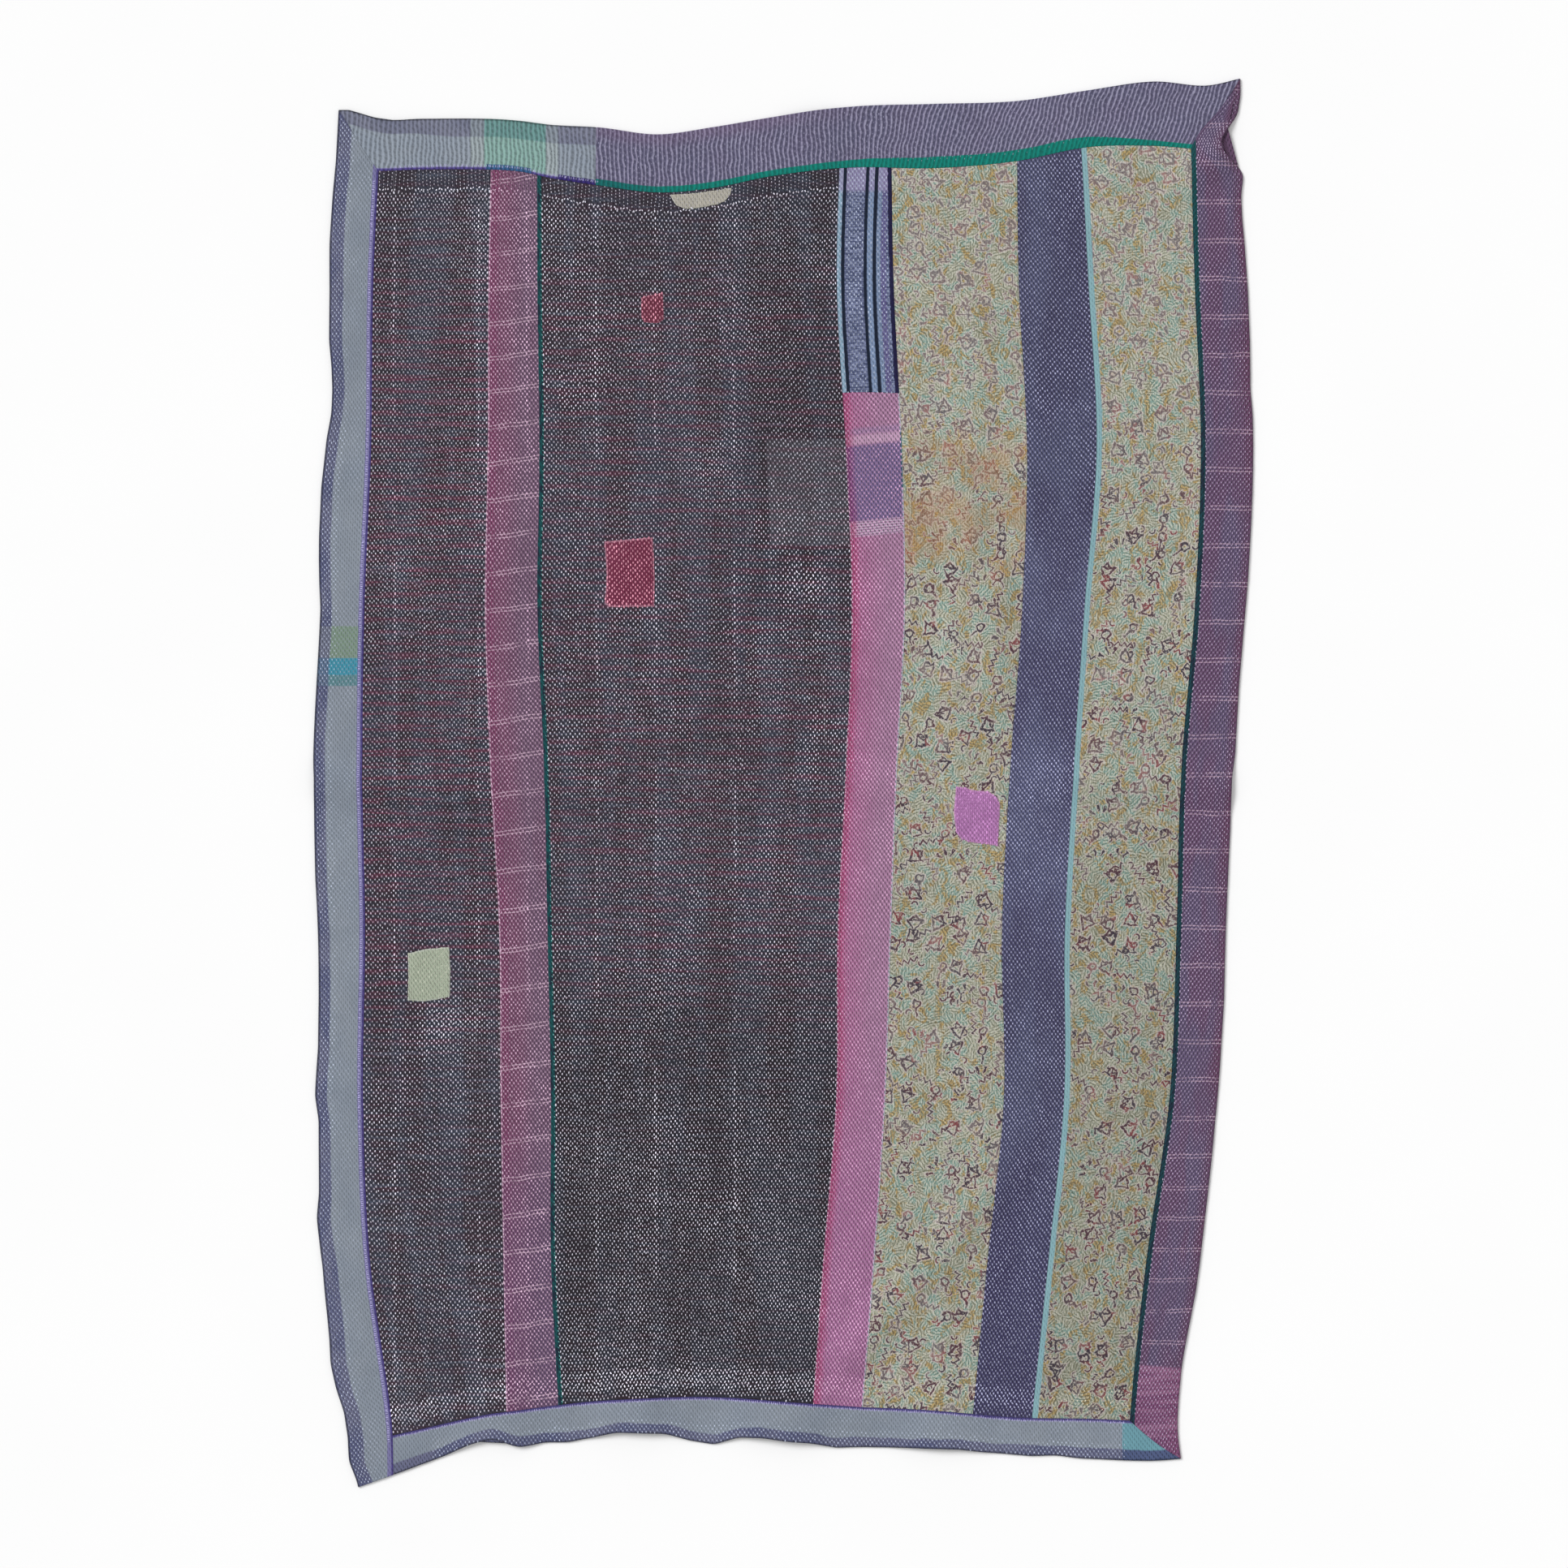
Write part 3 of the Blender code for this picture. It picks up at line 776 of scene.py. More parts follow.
def top_band_stitches(strip):
    """Upright columns of stitches below the top border, and a row of bright ones under them."""
    left, right = FIELD_STRIPS[strip]
    clear = LINE_REACH.get(strip, (0, 0))[1] + 2
    rng = np.random.default_rng(len(strip))
    edge = line_x(left, 900) + 2.5, line_x(right, 900) - clear
    columns = np.arange(edge[0], edge[1], BAND_COLUMN)
    depths = np.arange(1.6, TOP_BAND - 8, BAND_STITCH)
    x, depth = (grid.ravel() for grid in np.meshgrid(columns, depths))
    bright_x = np.arange(edge[0], edge[1], 4.6)
    bright = np.repeat([False, True], [len(x), len(bright_x)])
    x = np.concatenate([x, bright_x + rng.uniform(-0.9, 0.9, len(bright_x))])
    depth = np.concatenate([depth, TOP_BAND - 2.5 + rng.uniform(-2.2, 2.2, len(bright_x))])
    every_other = np.round((x - edge[0]) / BAND_COLUMN) % 2 == 1
    depth = depth + BAND_STITCH / 2 * (every_other & ~bright) + rng.uniform(-0.8, 0.8, len(x))
    x = x + 3.6 * (lumps(x, depth, 30, 20, 4) - 0.5) + rng.uniform(-0.35, 0.35, len(x))
    y = line_y("top_hem", x) - depth
    size = np.where(bright[:, None], (1.15, 1.0, 1.3), (0.9, 0.78, 1.0))
    turn = np.where(bright, rng.uniform(-0.9, 0.9, len(x)), 0.1 * rng.standard_normal(len(x)))
    shade = np.where(bright, 1.1, 0.66) * rng.uniform(0.6, 1.25, len(x))
    kept = (x > line_x(left, y) + 1.5) & (x < line_x(right, y) - clear + 1)
    return x[kept], y[kept], (size[kept], turn[kept], shade[kept])


def border_shares(x, y):
    """How far out into each border a place is: 0 at the inner seam, 1 at the rim."""
    def share(at, inner, rim):
        return (at - inner) / (rim - inner)
    return {
        "left": share(x, line_x("left_hem", y), line_x("left_edge", y)),
        "right": share(x, line_x("right_hem", y), line_x("right_edge", y)),
        "bottom": share(y, line_y("bottom_hem", x), line_y("bottom_edge", x)),
        "top": share(y, line_y("top_hem", x), line_y("top_edge", x)),
    }


def in_border(name, x, y):
    """Whether a place lies on this border, clear of its edges."""
    side = BORDERS[name][0]
    shares = border_shares(x, y)
    mine = shares[side]
    kept = (mine > 0.04) & (mine < 0.96)
    for other, share in shares.items():
        if other != side:
            runs_through = {side, other} == {"left", "bottom"}
            if runs_through:
                kept &= (share < 0.97) if side == "left" else (share < -0.04)
            else:
                kept &= share < mine - 0.03
    reach = LINE_REACH.get(name, (0, 0))[1]
    from_hem = {"left": line_x("left_hem", y) - x, "right": x - line_x("right_hem", y),
                "bottom": line_y("bottom_hem", x) - y, "top": y - line_y("top_hem", x)}
    kept &= from_hem[side] > reach
    joint = line_x("dark", y) + (line_x("rose", y) - line_x("dark", y)) * 2 / STRIP_CELLS[3]
    if name == "border_top_left":
        kept &= x < joint - 1.5
    if name == "border_top_right":
        kept &= x > joint + 1.5
    return kept


def border_stitches(name):
    side = BORDERS[name][0]
    if side in ("left", "right"):
        edge, hem = side + "_edge", side + "_hem"
        rows = row_count(np.mean(np.abs(seam[edge] - seam[hem])))

        def x_of_row(number, y):
            return line_x(edge, y) + (line_x(hem, y) - line_x(edge, y)) * number / rows

        numbers = np.arange(rows) + 0.5
    elif side == "bottom":
        def x_of_row(number, y):
            return number * ROW_SPACING + 0 * y

        numbers = np.arange(-165, 160) + 0.5
    else:
        def x_of_row(number, y):
            x = number * RIB_SPACING + 0 * y
            for _ in range(5):
                x = x - (rib_number(x, y) - number) * RIB_SPACING
            return x

        numbers = np.arange(-106, 108) + 0.5
    return along_rows(x_of_row, numbers, lambda x, y: in_border(name, x, y))


def in_patch(x, y):
    within = np.zeros(np.shape(x), bool)
    for corners in PATCHES.values():
        within |= inside(corners, x, y)
    return within


def quilt_top(x, y):
    """The upper face of the field, with the patches on it."""
    return field_top(x, y) + PATCH_RAISE * in_patch(x, y)


# %% Sizes, turns and brightness of the stitches
THICK_ROWS = (-575, -451, -379, -277, -190, -73)
LOOSE_SPOTS = ((35, 295, 36, 26), (-499, -352, 42, 26))


def waver(x, y, seed):
    """Nobody sews on a ruled line: each stitch lies a little off its place."""
    rng = np.random.default_rng(seed)
    aside = 0.7 * (lumps(x, y, 9, 60, 7) - 0.5) + 0.28 * rng.standard_normal(len(x))
    return x + aside, y + 0.5 * rng.standard_normal(len(x))


def field_style(x, y):
    """Size, turn and brightness of the field's stitches."""
    thick = np.zeros(len(x))
    for place in THICK_ROWS:
        wander = place + 5 * (lumps(x * 0, y, 90, 120, 3) - 0.5)
        thick = np.maximum(thick, np.exp(-((x - wander) / 2.2) ** 2))
    thick *= np.clip(2.2 * lumps(x, y, 300, 45, 6) - 0.5, 0, 1)
    low = y - line_y("bottom_hem", x)
    low_band = (low > 14) & (low < 44)
    spot = np.zeros(len(x))
    for sx, sy, rx, ry in LOOSE_SPOTS:
        spot = np.maximum(spot, np.exp(-((x - sx) / rx) ** 2 - ((y - sy) / ry) ** 2))
    big = np.maximum.reduce([thick, 0.7 * low_band, spot])
    rng = np.random.default_rng(11)
    loose = np.maximum(spot, 0.8 * low_band)
    turn = loose * rng.uniform(-0.8, 0.8, len(x)) + 0.1 * rng.standard_normal(len(x))
    worn = lumps(x, y, 16, 24, 1) * lumps(x, y, 70, 110, 0)
    shade = 0.5 + 0.7 * worn + 0.3 * lumps(x, y, 8, 10, 2) + 0.5 * big
    shade *= rng.uniform(0.72, 1.25, len(x))
    size = np.stack([1 + 0.2 * big, 1 + 0.25 * big, 1 + 0.3 * big], 1)
    return size, turn, shade


RIM_BAND = {"border_left": 0.4, "border_bottom": 0.4, "border_top_left": 0.45}


def border_style(name, x, y):
    """The thread has kept more of its white on the darker band along the rim."""
    rng = np.random.default_rng(12)
    size = np.ones((len(x), 3)) * (0.8, 0.85, 0.8)
    shade = 0.6 + 0.45 * lumps(x, y, 30, 40, 0)
    if name in RIM_BAND:
        at_rim = border_shares(x, y)[BORDERS[name][0]] > 1 - RIM_BAND[name]
        shade = shade * np.where(at_rim, 1.3, 0.8)
    return size, 0.12 * rng.standard_normal(len(x)), shade * rng.uniform(0.75, 1.2, len(x))


# %% [markdown]
# Along the seams run small whip stitches: pale ticks across the inner edges of
# the borders, and dots along the coloured strips. The patches are hemmed with
# ticks too, at right angles to their edges.

# %% Whip stitches along the seams
ACROSS_SEAM = np.pi / 2
WHIPS = {
    # sheet: (seam, from, to, spacing, offset, heading, length, width, thread)
    "border_left": [("left_hem", -972, 893, 3.2, -6.0, ACROSS_SEAM, 1.15, 0.8, "whip")],
    "border_bottom": [("bottom_hem", -570, 505, 3.3, -3.8, 0, 1.15, 0.66, "whip")],
    "border_top_left": [("top_hem", -580, -275, 3.5, 5.2, 0, 1.15, 0.62, "whip")],
    "strip_plum": [("plum", -920, 890, 8.2, 1.3, 0.15, 1.15, 0.85, "pink_white"),
                   ("dark", -920, 890, 7.4, -0.6, 0.5, 0.75, 0.6, "aqua")],
    "border_right": [("right_hem", -930, 925, 7.6, 7.4, 0.2, 0.9, 0.8, "right")],
    "strip_rose": [("rose", -925, 490, 7.8, 1.0, 0.3, 0.9, 0.7, "pink_white")],
}


def whip_places(line, start, end, spacing, offset, heading, rng):
    along = np.arange(start, end, spacing)
    along = along + 0.16 * spacing * rng.standard_normal(len(along))
    beside = offset + 0.35 * rng.standard_normal(len(along))
    turn = heading + 0.16 * rng.standard_normal(len(along))
    if line in seam:
        slope = (line_x(line, along + 5) - line_x(line, along - 5)) / 10
        return line_x(line, along) + beside, along, turn - np.arctan(slope)
    slope = (line_y(line, along + 5) - line_y(line, along - 5)) / 10
    return along, line_y(line, along) + beside, turn + np.arctan(slope)


def patch_hem(corners, spacing, rng):
    """Ticks that cross the edge of a patch, all the way round."""
    ring = np.array(corners + corners[:1], float)
    steps = np.diff(ring, axis=0)
    lengths = np.hypot(steps[:, 0], steps[:, 1])
    far = np.concatenate([[0], np.cumsum(lengths)])
    at = np.arange(spacing / 2, far[-1], spacing) + rng.uniform(-0.8, 0.8, int(far[-1] / spacing + 0.5))
    side = np.clip(np.searchsorted(far, at) - 1, 0, len(steps) - 1)
    share = ((at - far[side]) / lengths[side])[:, None]
    place = ring[side] + steps[side] * share
    middle = ring[:-1].mean(axis=0)
    place = place + (middle - place) * 0.03
    turn = np.arctan2(steps[side, 1], steps[side, 0]) + 0.2 * rng.standard_normal(len(at))
    return place[:, 0], place[:, 1], turn


# %% [markdown]
# ## Sewing with Geometry Nodes
# Tens of thousands of stitches are one small shape placed many times, which is
# what Geometry Nodes are for. The tree takes a cloud of points, one for each
# stitch, that carry their turn and size. It puts the shape on each, makes every
# one a little different with seeded random values, joins them all into one mesh
# and gives it the thread's material. The shape has six faces, because there are
# so many.

# %% The stitch's shape and the tree
STITCH_LONG, STITCH_WIDE, STITCH_HIGH = 4.7, 2.0, 0.6


def stitch_shape():
    """A low pillow, one unit long and wide, with its six-sided rim sunk in the cloth."""
    mesh = bpy.data.meshes.new("stitch_shape")
    rim = [(0, -0.5, -0.45), (0.5, -0.24, -0.45), (0.5, 0.24, -0.45), (0, 0.5, -0.45),
           (-0.5, 0.24, -0.45), (-0.5, -0.24, -0.45)]
    mesh.from_pydata(rim + [(0, 0, 1.0)], [], [(i, (i + 1) % 6, 6) for i in range(6)])
    return bpy.data.objects.new("stitch_shape", mesh)


def plug(item, socket):
    """Puts a number, a colour, or what another socket gives, into a socket."""
    item = getattr(item, "socket", item)
    if isinstance(item, bpy.types.NodeSocket):
        socket.id_data.links.new(item, socket)
    else:
        socket.default_value = item


def sewing_tree():
    tree = bpy.data.node_groups.new("sew_stitches", "GeometryNodeTree")
    sockets = {}
    for label, kind in (("Geometry", "NodeSocketGeometry"), ("Shape", "NodeSocketObject"),
                        ("Length", "NodeSocketFloat"), ("Width", "NodeSocketFloat"),
                        ("Height", "NodeSocketFloat"), ("Unevenness", "NodeSocketFloat"),
                        ("Seed", "NodeSocketInt"), ("Thread", "NodeSocketMaterial")):
        made = tree.interface.new_socket(name=label, in_out="INPUT", socket_type=kind)
        sockets[label] = made.identifier
    tree.interface.new_socket(name="Geometry", in_out="OUTPUT", socket_type="NodeSocketGeometry")

    def node(kind, inputs, output=0, **settings):
        """Adds a node, fills its inputs and gives one of its outputs."""
        made = tree.nodes.new(kind)
        for setting, value in settings.items():
            setattr(made, setting, value)
        for place, item in inputs.items():
            plug(item, made.inputs[place])
        return made.outputs[output]

    def carried(label):
        """A vector that each point carries."""
        return node("GeometryNodeInputNamedAttribute", {"Name": label}, "Attribute",
                    data_type="FLOAT_VECTOR")

    given = tree.nodes.new("NodeGroupInput").outputs
    whole = node("ShaderNodeCombineXYZ",
                 {"X": given["Width"], "Y": given["Length"], "Z": given["Height"]})
    scaled = node("ShaderNodeVectorMath", {0: carried("size"), 1: whole}, operation="MULTIPLY")
    least, most = (node("ShaderNodeMath", {0: 1, 1: given["Unevenness"]}, operation=sign)
                   for sign in ("SUBTRACT", "ADD"))
    uneven = node("FunctionNodeRandomValue", {0: least, 1: most, "Seed": given["Seed"]},
                  data_type="FLOAT_VECTOR")
    varied = node("ShaderNodeVectorMath", {0: scaled, 1: uneven}, operation="MULTIPLY")
    shape = node("GeometryNodeObjectInfo", {"Object": given["Shape"]}, "Geometry")
    angle = node("FunctionNodeEulerToRotation", {0: carried("turn")})
    placed = node("GeometryNodeInstanceOnPoints", {"Points": given["Geometry"], "Instance": shape,
                                                   "Rotation": angle, "Scale": varied})
    real = node("GeometryNodeRealizeInstances", {0: placed})
    dyed = node("GeometryNodeSetMaterial", {"Geometry": real, "Material": given["Thread"]})
    plug(dyed, tree.nodes.new("NodeGroupOutput").inputs[0])
    return tree, sockets


SEWING, SEWING_SOCKETS = sewing_tree()
SHAPE = stitch_shape()


def turns_of(x, y, heading, top_of):
    """Turns that lay each stitch flat on the cloth, with its length along its heading."""
    step = 1.2
    slope_x = (top_of(x + step, y) - top_of(x - step, y)) / (2 * step)
    slope_y = (top_of(x, y + step) - top_of(x, y - step)) / (2 * step)
    steep = 0.6
    slope_x, slope_y = np.clip(slope_x, -steep, steep), np.clip(slope_y, -steep, steep)
    up = np.stack([-slope_x, -slope_y, np.ones(len(x))], 1)
    long = np.stack([-np.sin(heading), np.cos(heading),
                     slope_y * np.cos(heading) - slope_x * np.sin(heading)], 1)
    up /= np.linalg.norm(up, axis=1, keepdims=True)
    long /= np.linalg.norm(long, axis=1, keepdims=True)
    side = np.cross(long, up)
    return np.stack([np.arctan2(long[:, 2], up[:, 2]), -np.arcsin(side[:, 2]),
                     np.arctan2(side[:, 1], side[:, 0])], 1)


def sew(name, x, y, top_of, style, material, seed, lay=0.0):
    """Sews stitches at these places, as one mesh."""
    size, heading, shade = style
    z = top_of(x, y) + lay
    points = np.stack([x - MIDDLE[0], y - MIDDLE[1], z], 1) * MM
    cloud = bpy.data.meshes.new(name + "_points")
    cloud.from_pydata(points.tolist(), [], [])
    turn = cloud.attributes.new("turn", "FLOAT_VECTOR", "POINT")
    turn.data.foreach_set("vector", turns_of(x, y, heading, top_of).ravel())
    scale = cloud.attributes.new("size", "FLOAT_VECTOR", "POINT")
    scale.data.foreach_set("vector", size.ravel())
    bright = cloud.attributes.new("shade", "FLOAT", "POINT")
    bright.data.foreach_set("value", shade)
    holder = bpy.data.objects.new(name + "_points", cloud)
    bpy.context.scene.collection.objects.link(holder)
    sewer = holder.modifiers.new("sew", "NODES")
    sewer.node_group = SEWING
    for label, value in (("Shape", SHAPE), ("Length", STITCH_LONG * MM),
                         ("Width", STITCH_WIDE * MM), ("Height", STITCH_HIGH * MM),
                         ("Unevenness", 0.16), ("Seed", seed), ("Thread", material)):
        sewer[SEWING_SOCKETS[label]] = value
    bpy.context.view_layer.update()
    seen = holder.evaluated_get(bpy.context.evaluated_depsgraph_get())
    mesh = bpy.data.meshes.new_from_object(seen)
    holder.modifiers.remove(sewer)
    bpy.data.objects.remove(holder)
    mesh.name = name
    mesh.shade_smooth()
    piece = bpy.data.objects.new(name, mesh)
    bpy.context.scene.collection.objects.link(piece)
    print(name, "has", len(x), "stitches and", 6 * len(x), "triangles")
    return piece

# %% [markdown]
# ## Dyeing the cloths
# All colour comes from node trees. Wiring nodes by hand in a script is long, so
# a small class stands for one number inside a material, and lets Python's own
# signs write the Math nodes: `a * 2 + b` makes the two nodes and their links.
# A second class is one cloth being dyed. It holds the three maps of the sheet
# as such numbers, in millimetres and in stitches, with a few helpers for
# stripes and noise.

# %% Numbers inside a material
class Value:
    """A number in a node tree, reckoned with as any other number is."""

    def __init__(self, tree, socket):
        self.tree, self.socket = tree, socket

    def reckon(self, operation, *others, first=None):
        node = self.tree.nodes.new("ShaderNodeMath")
        node.operation = operation
        items = (self, *others) if first is None else (first, self)
        for place, item in enumerate(items):
            plug(item, node.inputs[place])
        return Value(self.tree, node.outputs[0])

    def __add__(self, other):
        return self.reckon("ADD", other)

    def __mul__(self, other):
        return self.reckon("MULTIPLY", other)

    def __sub__(self, other):
        return self.reckon("SUBTRACT", other)

    def __rsub__(self, other):
        return self.reckon("SUBTRACT", first=other)

    def __truediv__(self, other):
        return self.reckon("DIVIDE", other)

    def __abs__(self):
        return self.reckon("ABSOLUTE")

    __radd__, __rmul__ = __add__, __mul__

    def most(self, other):
        return self.reckon("MAXIMUM", other)

    def least(self, other):
        return self.reckon("MINIMUM", other)

    def rest(self):
        """What is left above the whole number below."""
        return self.reckon("FRACT")

    def rise(self, start, end):
        """0 below start, 1 above end, smooth between them. It falls if end is lower."""
        node = self.tree.nodes.new("ShaderNodeMapRange")
        node.interpolation_type = "SMOOTHSTEP"
        low, high = min(start, end), max(start, end)
        node.inputs["From Min"].default_value, node.inputs["From Max"].default_value = low, high
        ends = (0, 1) if start < end else (1, 0)
        node.inputs["To Min"].default_value, node.inputs["To Max"].default_value = ends
        plug(self, node.inputs["Value"])
        return Value(self.tree, node.outputs[0])

    def band(self, centre, half, soft=0.5):
        """1 within half of the centre, 0 outside, with a soft edge."""
        return abs(self - centre).rise(half + soft, max(half - soft, 0))


def screen(red, green, blue):
    """A colour as seen on a screen, 0 to 255, as Blender's linear light."""
    light = [((part / 255 + 0.055) / 1.055) ** 2.4 if part > 10 else part / 255 / 12.92
             for part in (red, green, blue)]
    return (*light, 1.0)


# %% A cloth being dyed
def world_place(tree):
    """Where a point lies on the quilt, in millimetres, for cloth and thread alike."""
    node = tree.nodes.new("ShaderNodeTexCoord")
    split = tree.nodes.new("ShaderNodeSeparateXYZ")
    tree.links.new(node.outputs["Object"], split.inputs[0])
    return (Value(tree, split.outputs[0]) * 1000, Value(tree, split.outputs[1]) * 1000)


def cloud(tree, x, y, size_x, size_y, layer, detail=2.0, bend=0.0):
    """Random cloud shapes, about 0.5 in the middle, of a size in millimetres."""
    place = tree.nodes.new("ShaderNodeCombineXYZ")
    for item, socket in zip((x * (1 / size_x), y * (1 / size_y), layer), place.inputs):
        plug(item, socket)
    node = tree.nodes.new("ShaderNodeTexNoise")
    tree.links.new(place.outputs[0], node.inputs["Vector"])
    node.inputs["Scale"].default_value = 1
    node.inputs["Detail"].default_value = detail
    node.inputs["Distortion"].default_value = bend
    return Value(tree, node.outputs["Fac"])


WEFT_REPEAT = 17.9


def red_weft(tree, x, y):
    """Where reddish weft threads run, in the charcoal cloth and the thread on it."""
    zone = y.rise(-480, -200) * y.rise(860, 640)
    bent = y + (cloud(tree, x, y, 190, 70, 62.0) - 0.5) * 16
    stripe = ((bent / WEFT_REPEAT).rest() - 0.5).band(0, 0.24, 0.16)
    streaks = cloud(tree, x, y, 75, 5, 61.0, 3.0, 0.3).rise(0.36, 0.6)
    loose = cloud(tree, x, y, 40, 6.5, 65.0, 3.0, 0.4).rise(0.54, 0.7)
    reddish = (stripe * streaks).most(loose * 0.7) * (0.3 + 0.7 * zone)
    return reddish * (0.35 + cloud(tree, x, y, 160, 60, 64.0)) * (0.75 + 0.3 * x.rise(-330, -450))


# How high the weave, the small lumps and the grooves are, in millimetres, and the gloss
WEAVE_HIGH, LUMP_HIGH, GROOVE_DEEP, GLOSS = 0.06, 0.35, 0.1, 0.168


class Cloth:
    """A material in the making, with the sheet's maps as numbers."""

    def __init__(self, name, seed=0):
        self.material = bpy.data.materials.new(name)
        self.material.use_nodes = True
        self.tree = self.material.node_tree
        self.seed = seed
        across, along = self.read_map("cloth")
        self.across, self.along = across * 1000, along * 1000
        self.back = self.read_map("width")[0] * 1000
        self.row, self.stitch = self.read_map("quilting")
        self.x, self.y = world_place(self.tree)

    def read_map(self, name):
        node = self.tree.nodes.new("ShaderNodeUVMap")
        node.uv_map = name
        split = self.tree.nodes.new("ShaderNodeSeparateXYZ")
        self.tree.links.new(node.outputs[0], split.inputs[0])
        return Value(self.tree, split.outputs[0]), Value(self.tree, split.outputs[1])

    def place(self, x, y, z=0.0):
        node = self.tree.nodes.new("ShaderNodeCombineXYZ")
        for item, socket in zip((x, y, z), node.inputs):
            plug(item, socket)
        return node.outputs[0]

    def noise(self, size_x, size_y, layer=0, detail=2.0, bend=0.0):
        """Cloud shapes that are this cloth's own."""
        return cloud(self.tree, self.across, self.along, size_x, size_y,
                     self.seed * 7.3 + layer * 3.1, detail, bend)

    def mix(self, first, second, share):
        node = self.tree.nodes.new("ShaderNodeMix")
        node.data_type = "RGBA"
        plug(share, node.inputs[0])
        plug(first, node.inputs[6])
        plug(second, node.inputs[7])
        return node.outputs[2]

    def shade(self, colour, share):
        """The colour made darker or lighter by a number."""
        node = self.tree.nodes.new("ShaderNodeVectorMath")
        node.operation = "SCALE"
        plug(colour, node.inputs[0])
        plug(share, node.inputs["Scale"])
        return node.outputs[0]

    def dye(self, tone, share):
        """Lays a tone over the cloth's colour, as far as share says."""
        tone = screen(*tone) if isinstance(tone, tuple) else tone
        self.colour = self.mix(self.colour, tone, share)

    def dim(self, share):
        """Makes the cloth's colour darker or lighter by a number."""
        self.colour = self.shade(self.colour, share)

    def holes(self):
        """The dimples where the thread goes in, and the puffs between the rows."""
        beside = abs(self.row.rest() - 0.5)
        along = abs((self.stitch + 0.5).rest() - 0.5)
        hole = beside.rise(0.46, 0.12) * along.rise(0.25, 0.4)
        groove = beside.rise(0.4, 0.0)
        return hole, groove

    def finish(self, hole_shade=0.5, deep=0.45, heather=0.14):
        """Adds the thread of the weave, the dimples with painted shade in them and in the grooves along
        the rows, and the shader.
        """
        hole, groove = self.holes()
        warp = self.noise(0.55, 9, 21, 1.0)
        weft = self.noise(9, 0.55, 22, 1.0)
        faded = self.noise(38, 52, 23, 3.0)
        light = 1 + (warp - 0.5) * heather * 2 + (weft - 0.5) * heather * 2
        light = light * (1 + (faded - 0.5) * 0.22)
        # painted shade: the colour is darkened in the dimples where the thread goes in, and a little in
        # the grooves along the rows
        self.dim(light * (1 - hole * hole_shade) * (1 - groove * 0.1))
        lumpy = self.noise(3.4, 3.4, 24, 2.0)
        height = (warp + weft) * WEAVE_HIGH + lumpy * LUMP_HIGH - hole * deep - groove * GROOVE_DEEP
        bump_node = self.tree.nodes.new("ShaderNodeBump")
        bump_node.inputs["Strength"].default_value = 1.0
        bump_node.inputs["Distance"].default_value = MM
        plug(height, bump_node.inputs["Height"])
        shader = self.tree.nodes["Principled BSDF"]
        plug(self.colour, shader.inputs["Base Color"])
        plug(bump_node.outputs[0], shader.inputs["Normal"])
        plug(1 - (warp * 0.5 + 0.5) * GLOSS, shader.inputs["Roughness"])
        shader.inputs["Specular IOR Level"].default_value = 0.25
        shader.inputs["Sheen Weight"].default_value = 0.08
        shader.inputs["Sheen Roughness"].default_value = 0.5
        return self.material


# %% [markdown]
# ## The dark sari cloth
# The two widest pieces are charcoal cotton, woven with some reddish and bluish
# weft threads. They show as thin streaks across, the red ones in stripes that
# repeat and are stronger in the middle of the quilt. Noise that is stretched a
# hundred times further across than up gives such streaks.

# %% Charcoal cloth
def charcoal(name, seed, panel_zones=False):
    cloth = Cloth(name, seed)
    zones = cloth.noise(34, 420, 1, 3.0).rise(0.42, 0.6)
    cloth.colour = cloth.mix(screen(50, 44, 54), screen(56, 58, 72), zones)
    red = red_weft(cloth.tree, cloth.x, cloth.y)
    cloth.dye((100, 50, 72), red * 0.8)
    blue = cloth.noise(60, 5.5, 4, 3.0).rise(0.52, 0.7)
    cloth.dye((82, 90, 108), blue * 0.5)
    pale = cloth.noise(3.2, 260, 5, 2.0).rise(0.62, 0.8)
    cloth.dye((120, 118, 126), pale * 0.35)
    if panel_zones:
        # darker towards the bottom and at the top right; high up, the part near the right seam is
        # paler, with a dark line at its edge
        darker = cloth.along.rise(-180, -420) * 0.4
        darker = darker + cloth.across.rise(230, 360) * cloth.along.rise(100, 400) * 0.24
        cloth.dim(1 - darker)
        tall = cloth.along.rise(350, 356) * cloth.along.rise(512, 506)
        cloth.dye((96, 94, 104), tall * cloth.back.rise(119, 116) * 0.36)
        cloth.dye((40, 38, 44), tall * cloth.back.band(124, 5, 3) * 0.35)
    return cloth.finish(hole_shade=0.72)


# %% [markdown]
# ## The plum cloth
# The plum strip and the right border are cut from one sari. It has thin white
# double lines in its weft, about every 54 mm, which slant because the cloth was
# pulled as it was sewn, and a dark teal edge.

